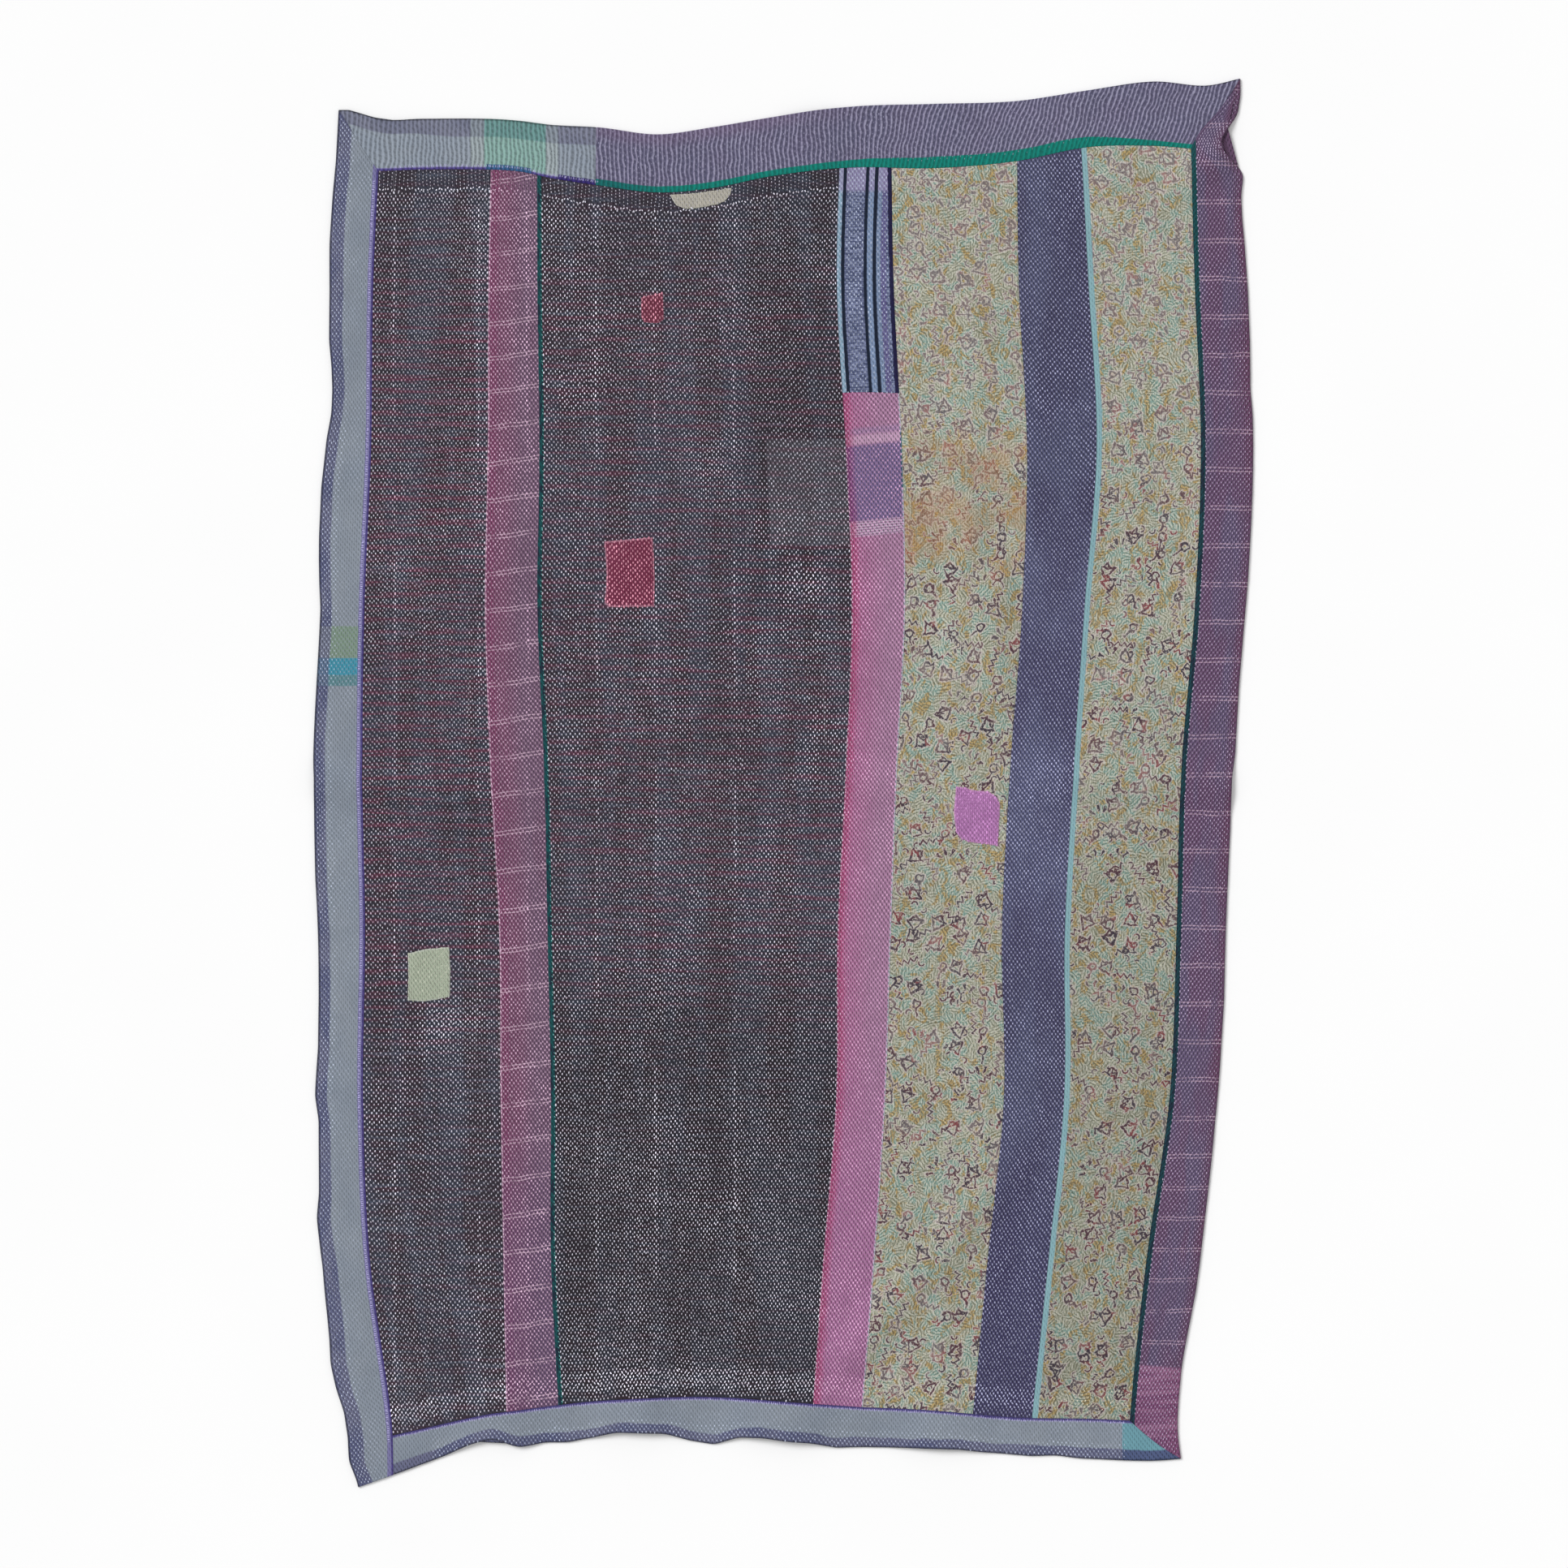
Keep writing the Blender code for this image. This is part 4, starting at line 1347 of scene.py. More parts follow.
# %% Plum cloth
def plum(name, seed, slant=0.14, border=False):
    cloth = Cloth(name, seed)
    side = cloth.noise(30, 150, 1)
    if border:
        cloth.colour = cloth.mix(screen(96, 82, 112), screen(100, 74, 104), side.rise(0.4, 0.6))
        rim = cloth.across.rise(20, 3)
        cloth.dye((98, 54, 80), rim * 0.5)
        corner = (cloth.along - cloth.across * 0.08).rise(-861, -866)
        faded = cloth.noise(120, 9, 6).rise(0.42, 0.66)
        pink = cloth.mix(screen(122, 72, 110), screen(152, 104, 138), faded)
        cloth.dye(pink, corner * 0.85)
        inner, reach = cloth.back, 7.4
    else:
        cloth.colour = cloth.mix(screen(122, 78, 106), screen(112, 86, 110), cloth.across.rise(20, 56))
        cloth.dye((126, 60, 98), cloth.across.band(7, 6, 4) * 0.6)
        cloth.dye((172, 124, 154), cloth.across.rise(2.6, 1.2) * 0.8)
        cloth.dye((104, 68, 94), side.rise(0.5, 0.7) * 0.4)
        cloth.dim(0.98)
        cloth.dye((98, 78, 112), cloth.along.rise(-450, -700) * 0.45)
        inner, reach = cloth.back, 6.4
    run = cloth.along - cloth.across * slant + (cloth.noise(50, 60, 2) - 0.5) * 7
    if border:
        number = (803 - run) / 56.4 + (-551 - run).most(0) * 0.0042
    else:
        number = (834 - run) / 54.6 + run.rise(834, 480) * run.rise(-480, -20) * 0.38
    step = abs(((number + 0.5).rest() - 0.5) * 54.6)
    lines = step.band(2.6, 0.65, 0.45)
    gaps = cloth.noise(1.9, 20, 3, 1.0).rise(0.3, 0.5) * cloth.noise(26, 40, 7, 3.0).rise(0.25, 0.5)
    if border:
        gaps = gaps * cloth.along.rise(-868, -850)
    cloth.dye((222, 190, 210), lines * gaps * (0.56 if border else 0.76))
    edge = inner + (cloth.noise(5, 14, 4) - 0.5) * 1.6
    dark = edge.rise(reach + 0.6, reach - 0.6)
    navy = cloth.noise(4, 18, 5).rise(0.48, 0.62)
    if border:
        navy = (0.45 + 0.5 * navy) * cloth.along.rise(900, 500) + 0.1
    teal = cloth.mix(screen(10, 74, 78), screen(18, 38, 56), navy)
    cloth.dye(teal, dark)
    return cloth.finish(hole_shade=0.62)


# %% [markdown]
# ## The short blue cloth and the rose cloth
# They share one strip. The blue cloth has three navy lines along it, and its
# right side is as dark. The rose cloth is the end of a sari: plain pink below,
# with a pale line, a violet block and a set of fine white lines near its top,
# all a little aslant.

# %% Blue striped cloth
def blue_striped(name, seed):
    cloth = Cloth(name, seed)
    run = cloth.across + (cloth.noise(9, 9, 1) - 0.5) * 1.4
    ripple = cloth.noise(16, 3.2, 4, 2.0, 1.2).rise(0.38, 0.62)
    cloth.colour = cloth.mix(screen(72, 80, 112), screen(120, 128, 160), ripple)
    cloth.dye((128, 150, 182), run.band(48.8, 4.6, 1.5) * 0.75)
    cloth.dye((128, 150, 180), run.band(61, 3.4, 1.5) * 0.6)
    cloth.dye((140, 170, 190), run.rise(6.8, 5.4) * 0.85)
    cloth.dye((96, 84, 138), run.band(69, 4, 2) * 0.6)
    top = cloth.along.rise(872, 880)
    cloth.dye((150, 142, 178), top * 0.75)
    for place, half in BLUE_LINES:
        cloth.dye((10, 24, 46), run.band(place, half, 0.5))
    seam_side = (cloth.back + (cloth.noise(5, 7, 3) - 0.5) * 4).rise(6.6, 5.4)
    cloth.dye((22, 18, 60), seam_side)
    return cloth.finish(hole_shade=0.3)


def rose(name, seed):
    cloth = Cloth(name, seed)
    along = cloth.along - cloth.across * 0.1 + (cloth.noise(20, 20, 1) - 0.5) * 3
    cloth.colour = cloth.mix(screen(166, 104, 144), screen(160, 118, 150), cloth.across.rise(8, 60))
    cloth.dye((160, 106, 148), cloth.along.rise(-300, -650) * 0.85)
    cloth.dye((150, 120, 156), along.band(519, 5, 3) * 0.8)
    cloth.dye((190, 158, 184), along.band(506, 7, 3) * 0.7)
    block = along.rise(383, 389) * along.rise(502, 495)
    cloth.dye((114, 98, 140), block * 0.9)
    fine = ((along / 3.7).rest() - 0.5).band(0, 0.2, 0.12)
    set_of_lines = along.rise(363, 366) * along.rise(388, 385)
    cloth.dye((150, 120, 152), set_of_lines * 0.7)
    cloth.dye((208, 190, 208), set_of_lines * fine * 0.7)
    edge = cloth.across + (cloth.noise(6, 26, 2) - 0.5) * 8
    pink = cloth.mix(screen(176, 70, 118), screen(134, 52, 112), block)
    cloth.dye(pink, edge.rise(17, 2) * 0.75)
    cloth.dim(1 - edge.rise(9, 1) * 0.24)
    line = (cloth.back + (cloth.noise(6, 20, 3) - 0.5) * 1.4).rise(2.6, 1.6)
    pale = cloth.mix(screen(196, 200, 212), screen(60, 110, 130),
                     cloth.along.rise(430, 440) * cloth.along.rise(528, 518))
    cloth.dye(pale, line * 0.85)
    return cloth.finish(hole_shade=0.62)


def indigo(name, seed):
    cloth = Cloth(name, seed)
    uneven = cloth.noise(60, 200, 1).rise(0.35, 0.65)
    cloth.colour = cloth.mix(screen(68, 66, 96), screen(80, 82, 112), uneven)
    cloth.dye((60, 54, 92), cloth.along.rise(-380, -760) * 0.6)
    cloth.dim(1 + cloth.along.rise(500, 250) * cloth.along.rise(-400, -150) * 0.2)
    cloth.dye((98, 98, 128), cloth.noise(40, 3.4, 2).rise(0.55, 0.75) * 0.4)
    return cloth.finish(hole_shade=0.7)


# %% [markdown]
# ## The scatter print
# The two printed strips carry a dense scatter of small sprigs: short strokes in
# every direction, cream, sage and ochre, with little tulips, loops, fans,
# zigzags and hooks drawn in maroon outline over them. A Voronoi texture gives
# each motif a random place. Measured from there, turned by a random angle, a
# stroke or an outline is a short sum of distances.

# %% Printed cloth
class Scatter:
    """Motifs at random places: the place's own left-right and up-down, in mm."""

    def __init__(self, cloth, size, layer, turned=6.28, spread=1.0):
        tree = cloth.tree
        node = tree.nodes.new("ShaderNodeTexVoronoi")
        node.voronoi_dimensions = "2D"
        node.feature = "F1"
        node.inputs["Scale"].default_value = 1 / size
        node.inputs["Randomness"].default_value = spread
        x = cloth.across + (cloth.seed * 37.0 + layer * 61.0)
        y = cloth.along + (3000.0 + layer * 83.0)
        tree.links.new(cloth.place(x, y), node.inputs["Vector"])
        split = tree.nodes.new("ShaderNodeSeparateXYZ")
        tree.links.new(node.outputs["Position"], split.inputs[0])
        x = x - Value(tree, split.outputs[0])
        y = y - Value(tree, split.outputs[1])
        kinds = tree.nodes.new("ShaderNodeSeparateColor")
        tree.links.new(node.outputs["Color"], kinds.inputs[0])
        self.kind, third = (Value(tree, kinds.outputs[k]) for k in (0, 2))
        angle = (third - 0.5) * turned
        cosine, sine = angle.reckon("COSINE"), angle.reckon("SINE")
        self.x, self.y = x * cosine + y * sine, y * cosine - x * sine

    def far(self, up=0.0):
        """How far from a place above the motif's middle, in mm."""
        rise = self.y - up
        return (self.x * self.x + rise * rise).reckon("SQRT")

    def only(self, low, high):
        """1 for the motifs of one kind, 0 for the others."""
        return self.kind.rise(low, low + 0.001) * self.kind.rise(high + 0.001, high)


def printed(name, seed, aqua_edge=False, stain=False):
    cloth = Cloth(name, seed)
    # soft patches of sage, mint and ochre
    cloth.colour = cloth.mix(screen(146, 148, 128), screen(168, 170, 152),
                             cloth.noise(16, 20, 1).rise(0.35, 0.65))
    mint = cloth.noise(22, 22, 2, 1.5, 0.6).rise(0.47, 0.57)
    cloth.dye((132, 166, 158), mint * 0.85)
    ochre = cloth.noise(18, 26, 3, 2.0, 1.6).rise(0.54, 0.6)
    vine = cloth.across + (cloth.noise(60, 34, 4) - 0.5) * 44 + (cloth.noise(9, 9, 5) - 0.5) * 8
    vine = (((vine + 18) / 62).rest() * 62).band(31, 3, 2) * cloth.noise(16, 18, 6).rise(0.45, 0.55)
    yellow = ochre.most(vine)
    # short pale and dark strokes, side by side, in a new direction every centimetre
    leaf = Scatter(cloth, 12, 1)
    hatch = ((leaf.x + (cloth.noise(7, 7, 7) - 0.5) * 6) / 4.4).rest()
    broken = cloth.noise(5, 5, 8).rise(0.34, 0.5)
    strokes = hatch.band(0.5, 0.2, 0.14) * broken
    cloth.dye((144, 110, 42), yellow * (0.5 + 0.4 * strokes))
    pale = cloth.mix(screen(214, 212, 198), screen(206, 172, 92), yellow * 0.8)
    cloth.dye(pale, strokes * 0.72)
    dark = cloth.mix(screen(92, 92, 70), screen(104, 76, 30), yellow)
    cloth.dye(dark, (hatch.rise(0.17, 0) + hatch.rise(0.83, 1)) * broken * 0.85)
    # sprigs in maroon outline: tulips, loops on a stalk and fans of short rays
    motif = Scatter(cloth, 33, 5, turned=2.2, spread=0.7)
    motif.x = motif.x * 0.72 + (cloth.noise(9, 9, 14) - 0.5) * 7
    motif.y = motif.y * 0.72 + (cloth.noise(9, 9, 15) - 0.5) * 7
    side = abs(motif.x)
    cup = (side * 0.81 - (motif.y + 8.5) * 0.584).most(motif.y - 2.5)
    lid = (side * 0.75 + (motif.y - 2.5) * 0.66 - 3.4).most(2.5 - motif.y)
    tulip = abs(cup).least(abs(lid)) + (1 - motif.only(-1, 0.36)) * 20
    stalk = side.most(abs(motif.y + 5) - 4.2)
    loop = abs(motif.far(3.5) - 4).least(stalk) + (1 - motif.only(0.36, 0.6)) * 20
    angle = (motif.y + 5).reckon("ARCTAN2", motif.x)
    ray = (1 - (angle * 8.0).reckon("COSINE")) * 2.4
    fan = ray.most(abs(motif.far(-5) - 10) - 2.6).most(0 - motif.y) + (1 - motif.only(0.6, 0.84)) * 20
    # zigzag chains and small hooks between them
    chain = Scatter(cloth, 40, 9)
    saw = abs((chain.x / 9.5).rest() - 0.5) * 13 - 3.2
    zigzag = (abs(chain.y - saw) * 0.6).most(abs(chain.x) - 15) + (1 - chain.only(0.25, 1)) * 20
    crook = Scatter(cloth, 16, 7)
    hook = abs(crook.far() - 4.2).most(0.6 - crook.y) + (1 - crook.only(0.74, 1)) * 20
    zigzag = zigzag.most((0.45 - cloth.noise(7, 7, 9)) * 12)
    drawn = tulip.least(loop).least(fan).least(zigzag).least(hook)
    drawn = drawn + (cloth.noise(6, 6, 12) - 0.5) * 1.8
    cloth.dye((210, 198, 194), drawn.rise(3.0, 1.8) * 0.7)
    ink = cloth.mix(screen(78, 34, 54), screen(50, 38, 58), cloth.noise(30, 30, 11).rise(0.4, 0.6))
    ink = cloth.mix(ink, screen(130, 56, 64), cloth.noise(24, 24, 13).rise(0.58, 0.64))
    strong = cloth.noise(40, 60, 10).rise(0.3, 0.6) * cloth.along.rise(700, 300)
    cloth.dye(ink, drawn.rise(1.5, 0.7) * (0.66 + 0.28 * strong))
    cloth.dim(0.89 - cloth.along.rise(350, -500) * (0.17 if aqua_edge else 0.05))
    if stain:
        spot = cloth.along.rise(280, 330) * cloth.along.rise(540, 480)
        spot = spot * cloth.noise(60, 60, 12).rise(0.35, 0.6)
        cloth.dye((176, 128, 84), spot * 0.4)
    if aqua_edge:
        edge = (cloth.across + (cloth.noise(6, 22, 13) - 0.5) * 2.2).rise(8.8, 7.4)
        cloth.dye((128, 168, 176), edge * 0.95)
    return cloth.finish(heather=0.08, hole_shade=0.15, deep=0.34)


# %% [markdown]
# ## The banded border cloth
# The left, bottom and top left borders are the pale edge of another sari: a
# darker blue band at the rim, a pale blue-grey band inside it, and an indigo
# line where the fold is sewn down. Here and there a block of green crosses it.

# %% Banded and ribbed border cloths
DARK_LINE = 2.9


def banded(name, seed, rim_wide, line_tone, line_wide, blocks=(), ribbed=False, waver=2.5,
           widened=(), heavy=()):
    """blocks: from, to, rim colour, inner colour. widened: where the rim band gains width.
    heavy: where the line at the seam is wider, in its own colour."""
    cloth = Cloth(name, seed)
    depth = cloth.across + (cloth.noise(30, 40, 1) - 0.5) * waver
    uneven = cloth.noise(30, 60, 2).rise(0.35, 0.65)
    rim_tone = cloth.mix(screen(86, 90, 122), screen(104, 106, 132), uneven)
    rim_tone = cloth.mix(rim_tone, screen(118, 121, 132), 0.55 if ribbed else 0.0)
    inner_tone = cloth.mix(screen(122, 132, 146), screen(140, 147, 156), cloth.noise(40, 70, 3))
    along = cloth.along + (cloth.noise(14, 30, 4) - 0.5) * 2
    for start, end, rim_colour, inner_colour in blocks:
        here = along.rise(start - 1, start + 1) * along.rise(end + 1, end - 1)
        rim_tone = cloth.mix(rim_tone, screen(*rim_colour), here)
        inner_tone = cloth.mix(inner_tone, screen(*inner_colour), here)
    for start, end, gain in widened:
        depth = depth - cloth.along.rise(start, end) * gain
    inner = depth.rise(rim_wide - 1.5, rim_wide + 1.5)
    cloth.colour = cloth.mix(rim_tone, inner_tone, inner)
    edge = cloth.back + (cloth.noise(7, 12, 5) - 0.5) * 1.8
    cloth.dye((112, 104, 158), edge.rise(line_wide + 0.5, line_wide - 0.5) * 0.8)
    cloth.dye(line_tone, edge.rise(DARK_LINE + 0.5, DARK_LINE - 0.5) * 0.9)
    for start, end, tone, wide in heavy:
        here = along.rise(start - 1, start + 1) * along.rise(end + 1, end - 1)
        cloth.dye(tone, here * edge.rise(wide + 0.5, wide - 0.5) * 0.9)
    # painted shade along the rim, where the cloth rolls down to the floor
    cloth.dim(1 - (cloth.across + (cloth.noise(9, 20, 6) - 0.5) * 3).rise(3.6, 1) * 0.55)
    if ribbed:
        # painted shade in the furrows between the ribs, so the crests look lighter
        furrow = abs(cloth.row.rest() - 0.5) + (cloth.noise(4, 7, 7, 2.0) - 0.5) * 0.3
        cloth.dim(1.24 - furrow.rise(0.42, 0.12) * 0.38)
    return cloth.finish(hole_shade=0.2 if ribbed else 0.55 - inner * 0.3, deep=0.35)


def lavender(name, seed):
    cloth = Cloth(name, seed)
    away = abs(cloth.row.rest() - 0.5) + (cloth.noise(4, 7, 1, 2.0) - 0.5) * 0.34
    crest_highlight = away.rise(0.22, 0.44)
    cloth.colour = cloth.mix(screen(82, 84, 110), screen(90, 82, 108), cloth.noise(60, 50, 2))
    # painted highlight: the crests of the ribs are made lighter
    light = cloth.mix(screen(146, 146, 168), screen(140, 132, 160), cloth.noise(30, 30, 3))
    cloth.dye(light, crest_highlight * (0.55 + 0.6 * cloth.noise(5, 8, 4).rise(0.35, 0.6)))
    cloth.dye((116, 92, 122), cloth.across.rise(26, 5) * cloth.along.rise(150, -50) * 0.35)
    line = cloth.back + (cloth.noise(8, 30, 5) - 0.5) * 2.5
    taper = cloth.along.rise(400, 590) * 10.0 - cloth.along.rise(20, 240) * 7.4
    teal = (line + taper).rise(9.8, 8.6)
    tone = cloth.mix(screen(0, 120, 108), screen(10, 100, 98), cloth.along.rise(-140, -250))
    # the teal line gets the same painted highlight on the crests
    cloth.dye(cloth.shade(tone, 0.85 + crest_highlight * 0.25), teal)
    return cloth.finish(hole_shade=0.15, deep=0.3)


def plain_cloth(name, seed, tone, second, edge_tone=None):
    """A plain dyed scrap, with a paler turned edge where edge_tone is given."""
    cloth = Cloth(name, seed)
    twill = ((cloth.along - cloth.across * 0.9 + (cloth.noise(9, 9, 2) - 0.5) * 2) / 3.1).rest()
    streaks = cloth.noise(14, 3, 1).rise(0.35, 0.7)
    cloth.colour = cloth.mix(screen(*tone), screen(*second), streaks * 0.5)
    cloth.dim(1.06 - twill.band(0.5, 0.2, 0.2) * 0.14)
    if edge_tone:
        rim = (1 - cloth.back / 1000).rise(0.07, 0.03)
        cloth.dye(edge_tone, rim * 0.6)
    return cloth.finish(hole_shade=0.3)


# %% Dye every sheet
PALE_LINE, VIOLET_LINE = (68, 56, 122), (62, 54, 112)
materials = {
    "panel_dark_left": charcoal("charcoal_left", 1),
    "panel_dark_wide": charcoal("charcoal_wide", 2, panel_zones=True),
    "strip_plum": plum("plum_strip", 3),
    "border_right": plum("plum_border", 4, slant=0.0, border=True),
    "strip_blue_striped": blue_striped("blue_striped", 5),
    "strip_rose": rose("rose", 6),
    "panel_print_wide": printed("print_wide", 7, stain=True),
    "panel_print_narrow": printed("print_narrow", 8, aqua_edge=True),
    "strip_indigo": indigo("indigo", 9),
    "border_left": banded("banded_left", 10, 17, PALE_LINE, 8.6, (
        (186, 233, (108, 112, 132), (122, 142, 128)), (160, 186, (92, 112, 140), (66, 140, 162)),
        (145, 161, (92, 106, 132), (92, 130, 138))), widened=((500, 820, 4), (-500, -800, 6))),
    "border_bottom": banded("banded_bottom", 11, 15, VIOLET_LINE, 4.2, (
        (500, 640, (76, 88, 124), (104, 150, 162)),), waver=9),
    "border_top_left": banded("banded_top", 12, 27, PALE_LINE, 4.2, (
        (-463, -334, (122, 130, 140), (142, 152, 156)),
        (-443, -352, (96, 134, 132), (124, 156, 150))), ribbed=True, widened=((-480, -560, -6),),
        heavy=((-440, -374, (40, 84, 124), 7.6), (-334, -280, (40, 26, 96), 7.6))),
    "border_top_right": lavender("lavender_ribs", 13),
    "quilt_body": plain_cloth("back_cloth", 19, (74, 70, 88), (92, 84, 104)),
}
PATCH_TONES = {
    # patch: its cloth, a second tone in it, its turned edge
    "patch_red_small": ((101, 38, 58), (114, 50, 72), (150, 92, 110)),
    "patch_red_large": ((106, 35, 62), (120, 53, 80), (172, 120, 139)),
    "patch_cream": ((160, 170, 150), (174, 182, 164), (186, 190, 184)),
    "patch_orchid": ((162, 106, 160), (176, 124, 174), (188, 142, 184)),
    "patch_cream_top": ((166, 162, 152), (188, 182, 168), (190, 186, 178)),
}
for seed, (name, tones) in enumerate(PATCH_TONES.items(), 14):
    materials[name] = plain_cloth(name, seed, *tones)
for name, piece in pieces.items():
    piece.data.materials.append(materials[name])

# %% [markdown]
# ## The thread
# The thread is off-white cotton, two strands twisted together. On the coloured
# cloths it has taken up some dye over the years, so each group of stitches has
# its own tint. The brightness that every stitch carries as an attribute makes
# some look fresher than others.

# %% Thread materials
def thread(name, tone, on_charcoal=False):
    material = bpy.data.materials.new(name)
    material.use_nodes = True
    tree = material.node_tree
    shader = tree.nodes["Principled BSDF"]
    attribute = tree.nodes.new("ShaderNodeAttribute")
    attribute.attribute_name = "shade"
    spot = tree.nodes.new("ShaderNodeTexCoord")
    fuzz = tree.nodes.new("ShaderNodeTexNoise")
    fuzz.inputs["Scale"].default_value = 900
    tree.links.new(spot.outputs["Object"], fuzz.inputs["Vector"])
    bright = Value(tree, attribute.outputs["Fac"]) * (0.8 + 0.4 * Value(tree, fuzz.outputs["Fac"]))
    tint = tree.nodes.new("ShaderNodeVectorMath")
    tint.operation = "SCALE"
    dyed = tree.nodes.new("ShaderNodeMix")
    dyed.data_type = "RGBA"
    dyed.inputs[6].default_value = screen(*tone)
    dyed.inputs[7].default_value = screen(196, 130, 156)
    plug(red_weft(tree, *world_place(tree)) * 0.7 if on_charcoal else 0.0, dyed.inputs[0])
    plug(dyed.outputs[2], tint.inputs[0])
    plug(bright, tint.inputs["Scale"])
    twist = tree.nodes.new("ShaderNodeBump")
    twist.inputs["Distance"].default_value = 0.2 * MM
    plug(Value(tree, fuzz.outputs["Fac"]), twist.inputs["Height"])
    plug(tint.outputs[0], shader.inputs["Base Color"])
    plug(twist.outputs[0], shader.inputs["Normal"])
    plug(0.75 + 0.2 * Value(tree, fuzz.outputs["Fac"]), shader.inputs["Roughness"])
    shader.inputs["Specular IOR Level"].default_value = 0.3
    return material


THREAD_TONES = {
    "dark": (216, 214, 226), "plum": (206, 174, 196), "rose": (212, 168, 198),
    "print": (182, 178, 156), "indigo": (172, 174, 202), "pale": (176, 184, 202),
    "right": (188, 172, 198), "ribs": (150, 148, 170), "pink": (200, 150, 170),
    "cream": (188, 192, 174), "aqua": (120, 178, 176), "whip": (184, 178, 222),
    "pink_white": (216, 186, 204), "red_dots": (232, 160, 180), "orchid": (206, 146, 204),
    "shadow": (112, 120, 136),
}
threads = {name: thread("thread_" + name, tone, name == "dark")
           for name, tone in THREAD_TONES.items()}

# %% Sew the rows
SEWN = {
    "panel_dark_left": "dark", "strip_plum": "plum", "panel_dark_wide": "dark",
    "strip_rose": "rose", "panel_print_wide": "print", "strip_indigo": "indigo",
    "panel_print_narrow": "print",
}
PATCH_THREADS = {"patch_red_small": "red_dots", "patch_red_large": "red_dots",
                 "patch_cream": "cream", "patch_orchid": "orchid", "patch_cream_top": "cream"}
PRINT_STITCH = (0.65, 0.85, 0.7)
PATCH_LAY = 0.3


def sew_field(name, x, y, tone, seed, extra=None, lay=0.0):
    size, turn, shade = field_style(x, y)
    if tone == "print":
        size = size * PRINT_STITCH
    if extra:
        x, y = np.append(x, extra[0]), np.append(y, extra[1])
        size, turn, shade = (np.concatenate(pair) for pair in zip((size, turn, shade), extra[2]))
    stitches[name] = sew("stitches_" + name, x, y, quilt_top, (size, turn, shade),
                         threads[tone], seed, lay)


def sew_patches(x, y, seed):
    """The rows run on over a patch, in its own thread. Gives what is left for the strip."""
    for name, tone in PATCH_THREADS.items():
        here = inside(PATCHES[name], x, y)
        if here.any():
            sew_field(name, x[here], y[here], tone, seed, lay=PATCH_LAY)
            x, y = x[~here], y[~here]
    return x, y


bpy.context.scene.collection.objects.link(SHAPE)
stitches = {}
for seed, (strip, tone) in enumerate(SEWN.items()):
    x, y = sew_patches(*waver(*strip_stitches(strip), seed), seed)
    if strip == "strip_rose":
        above = y > blue_joint(x)
        sew_field("strip_blue_striped", x[above], y[above], "pale", seed)
        x, y = x[~above], y[~above]
    sew_field(strip, x, y, tone, seed, top_band_stitches(strip) if strip in TOP_BANDED else None)
BORDER_THREADS = {"border_left": "pale", "border_right": "right", "border_bottom": "pale",
                  "border_top_left": "shadow", "border_top_right": "ribs"}
for seed, (name, tone) in enumerate(BORDER_THREADS.items()):
    x, y = waver(*border_stitches(name), 20 + seed)
    stitches[name] = sew("stitches_" + name, x, y, lambda x, y: border_top(name, x, y),
                         border_style(name, x, y), threads[tone], 20 + seed)

# %% Sew the whip stitches
whips = {}
rng = np.random.default_rng(31)
for name, rows in WHIPS.items():
    for number, (line, start, end, spacing, offset, heading, long, wide, tone) in enumerate(rows):
        x, y, turn = whip_places(line, start, end, spacing, offset, heading, rng)
        style = (np.ones((len(x), 3)) * (wide, long, 0.9), turn, rng.uniform(0.7, 1.15, len(x)))
        top_of = (lambda x, y: border_top(name, x, y)) if name in BORDERS else quilt_top
        whips.setdefault(name, []).append(
            sew(f"whip_{name}_{number}", x, y, top_of, style, threads[tone], 40 + number))
HEM_SPACING = 4.6
PATCH_HEMS = {"patch_red_small": "pink", "patch_red_large": "pink", "patch_cream": "cream",
              "patch_orchid": "pink", "patch_cream_top": "cream"}
for name, tone in PATCH_HEMS.items():
    x, y, turn = patch_hem(PATCHES[name], HEM_SPACING, rng)
    style = (np.ones((len(x), 3)) * (0.5, 0.6, 0.7), turn, rng.uniform(0.6, 1.0, len(x)))
    whips[name] = [sew("whip_" + name, x, y, lambda x, y: field_top(x, y) + PATCH_RAISE,
                       style, threads[tone], 60)]
bpy.data.objects.remove(SHAPE)

# %% [markdown]
# ## Floor, light and camera
# The quilt lies on a plain pale floor. A soft light from far to the upper left
# falls evenly on all of it and shows the relief, and an even sky fills the
# shadows. The camera looks straight down from five and a half metres with a
# long lens, so that the edges aren't stretched.

# %% Stage
FRAME_WIDE = 1932 * 1.2 * MM
LENS, SENSOR = 85, 36
FLOOR_HALF, FLOOR_DROP = 9, 0.0004
SKY_STRENGTH, SUN_STRENGTH, SUN_ANGLE = 0.62, 2.3, 0.45
floor_mesh = bpy.data.meshes.new("floor")
floor_mesh.from_pydata([(FLOOR_HALF * x, FLOOR_HALF * y, -FLOOR_DROP)
                        for x, y in ((-1, -1), (1, -1), (1, 1), (-1, 1))], [], [(0, 1, 2, 3)])
floor = bpy.data.objects.new("floor", floor_mesh)
bpy.context.scene.collection.objects.link(floor)
paper = bpy.data.materials.new("pale_floor")
paper.use_nodes = True
paper_shader = paper.node_tree.nodes["Principled BSDF"]
grain = paper.node_tree.nodes.new("ShaderNodeTexNoise")
grain.inputs["Scale"].default_value = 3
spots = paper.node_tree.nodes.new("ShaderNodeTexCoord")
paper.node_tree.links.new(spots.outputs["Object"], grain.inputs["Vector"])
tone = 0.9 + 0.02 * Value(paper.node_tree, grain.outputs["Fac"])
white = paper.node_tree.nodes.new("ShaderNodeCombineColor")
for socket in white.inputs[:3]:
    plug(tone, socket)
plug(white.outputs[0], paper_shader.inputs["Base Color"])
paper_shader.inputs["Roughness"].default_value = 0.95
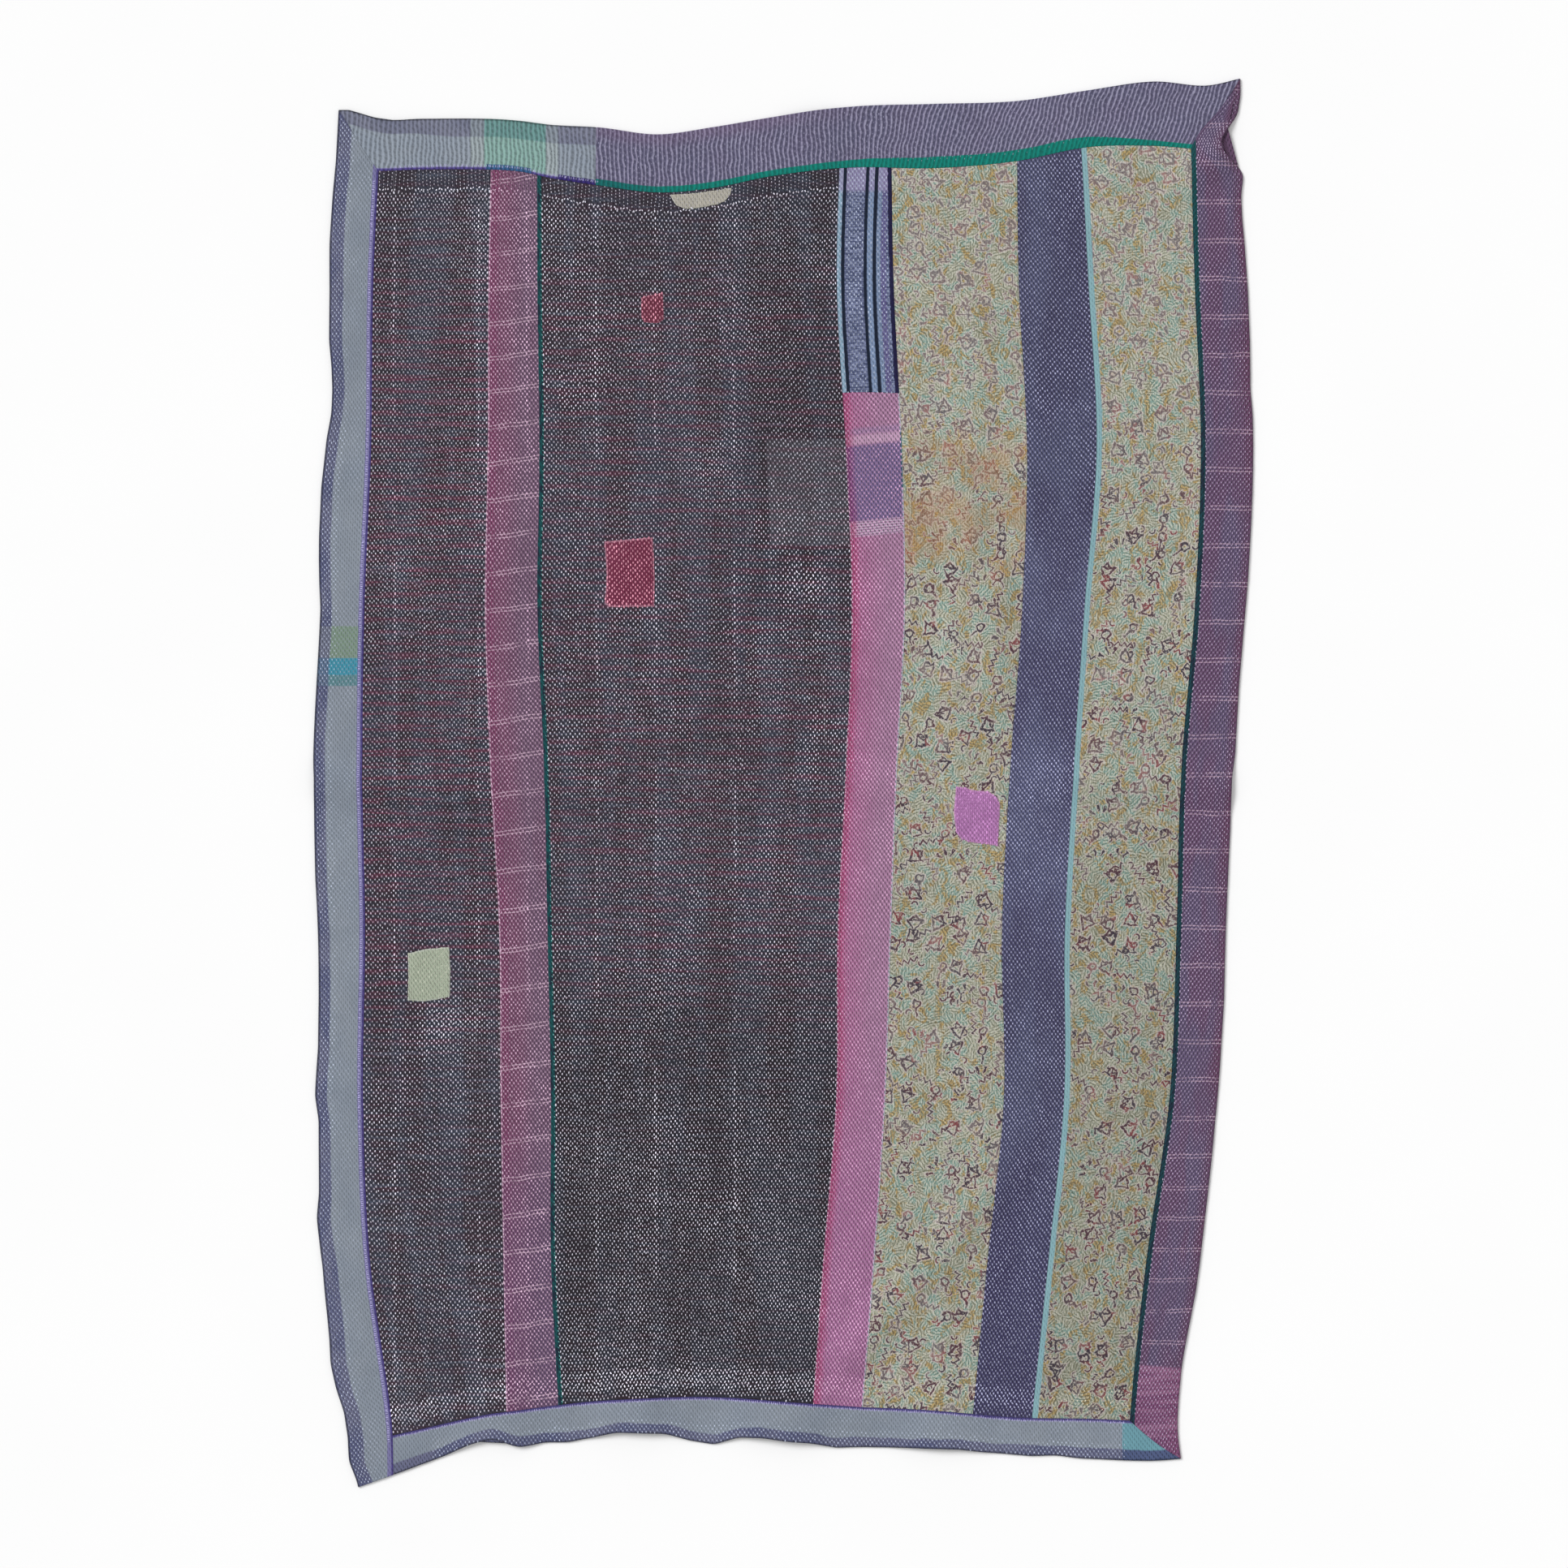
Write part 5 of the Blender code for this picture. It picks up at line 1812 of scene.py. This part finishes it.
paper_shader.inputs["Specular IOR Level"].default_value = 0.1
floor_mesh.materials.append(paper)

world = bpy.data.worlds.new("studio")
world.use_nodes = True
world.node_tree.nodes["Background"].inputs["Color"].default_value = (1, 1, 1, 1)
world.node_tree.nodes["Background"].inputs["Strength"].default_value = SKY_STRENGTH
bpy.context.scene.world = world

lamp = bpy.data.lights.new("key_light", "SUN")
lamp.energy, lamp.angle = SUN_STRENGTH, SUN_ANGLE
key = bpy.data.objects.new("key_light", lamp)
key.location = (-3.6, 2.6, 3.6)
key.rotation_mode = "QUATERNION"
key.rotation_quaternion = (-key.location).to_track_quat("-Z", "Y")
bpy.context.scene.collection.objects.link(key)

camera = bpy.data.cameras.new("camera")
camera.lens, camera.sensor_width = LENS, SENSOR
viewer = bpy.data.objects.new("camera", camera)
viewer.location = (-MIDDLE[0] * MM, -MIDDLE[1] * MM, FRAME_WIDE * LENS / SENSOR)
bpy.context.scene.collection.objects.link(viewer)
bpy.context.scene.camera = viewer
bpy.context.scene.view_settings.view_transform = "Standard"

# %% [markdown]
# ## Attach the pieces
# Each sheet stands for its solid, which is hidden, and is attached to the root body.
# The size it was cut to is worked out but not used. The stitches are attached to the root body too.

# %% Sheets and sizes
STRAIGHT_CUT = [name for name in pieces if not name.startswith("patch")]


def flat_area(piece):
    """Half of a sheet's surface, in square metres."""
    return sum(face.area for face in piece.data.polygons) / 2


for name, piece in pieces.items():
    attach(piece, "root")
    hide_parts(name)
    corners = [piece.matrix_world @ point.co for point in piece.data.vertices]
    wide = max(c.x for c in corners) - min(c.x for c in corners)
    long = max(c.y for c in corners) - min(c.y for c in corners)
    rests = ["cloth_quilt_body"] if name != "quilt_body" else ["floor"]
    sewn = ([stitches[name]] if name in stitches else []) + whips.get(name, [])
    area = flat_area(piece)
    if name in STRAIGHT_CUT:
        wide, long = (wide, area / wide) if wide > long else (area / long, long)
    area = min(area, wide * long)
for piece in [*stitches.values(), *(piece for group in whips.values() for piece in group)]:
    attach(piece, "root")
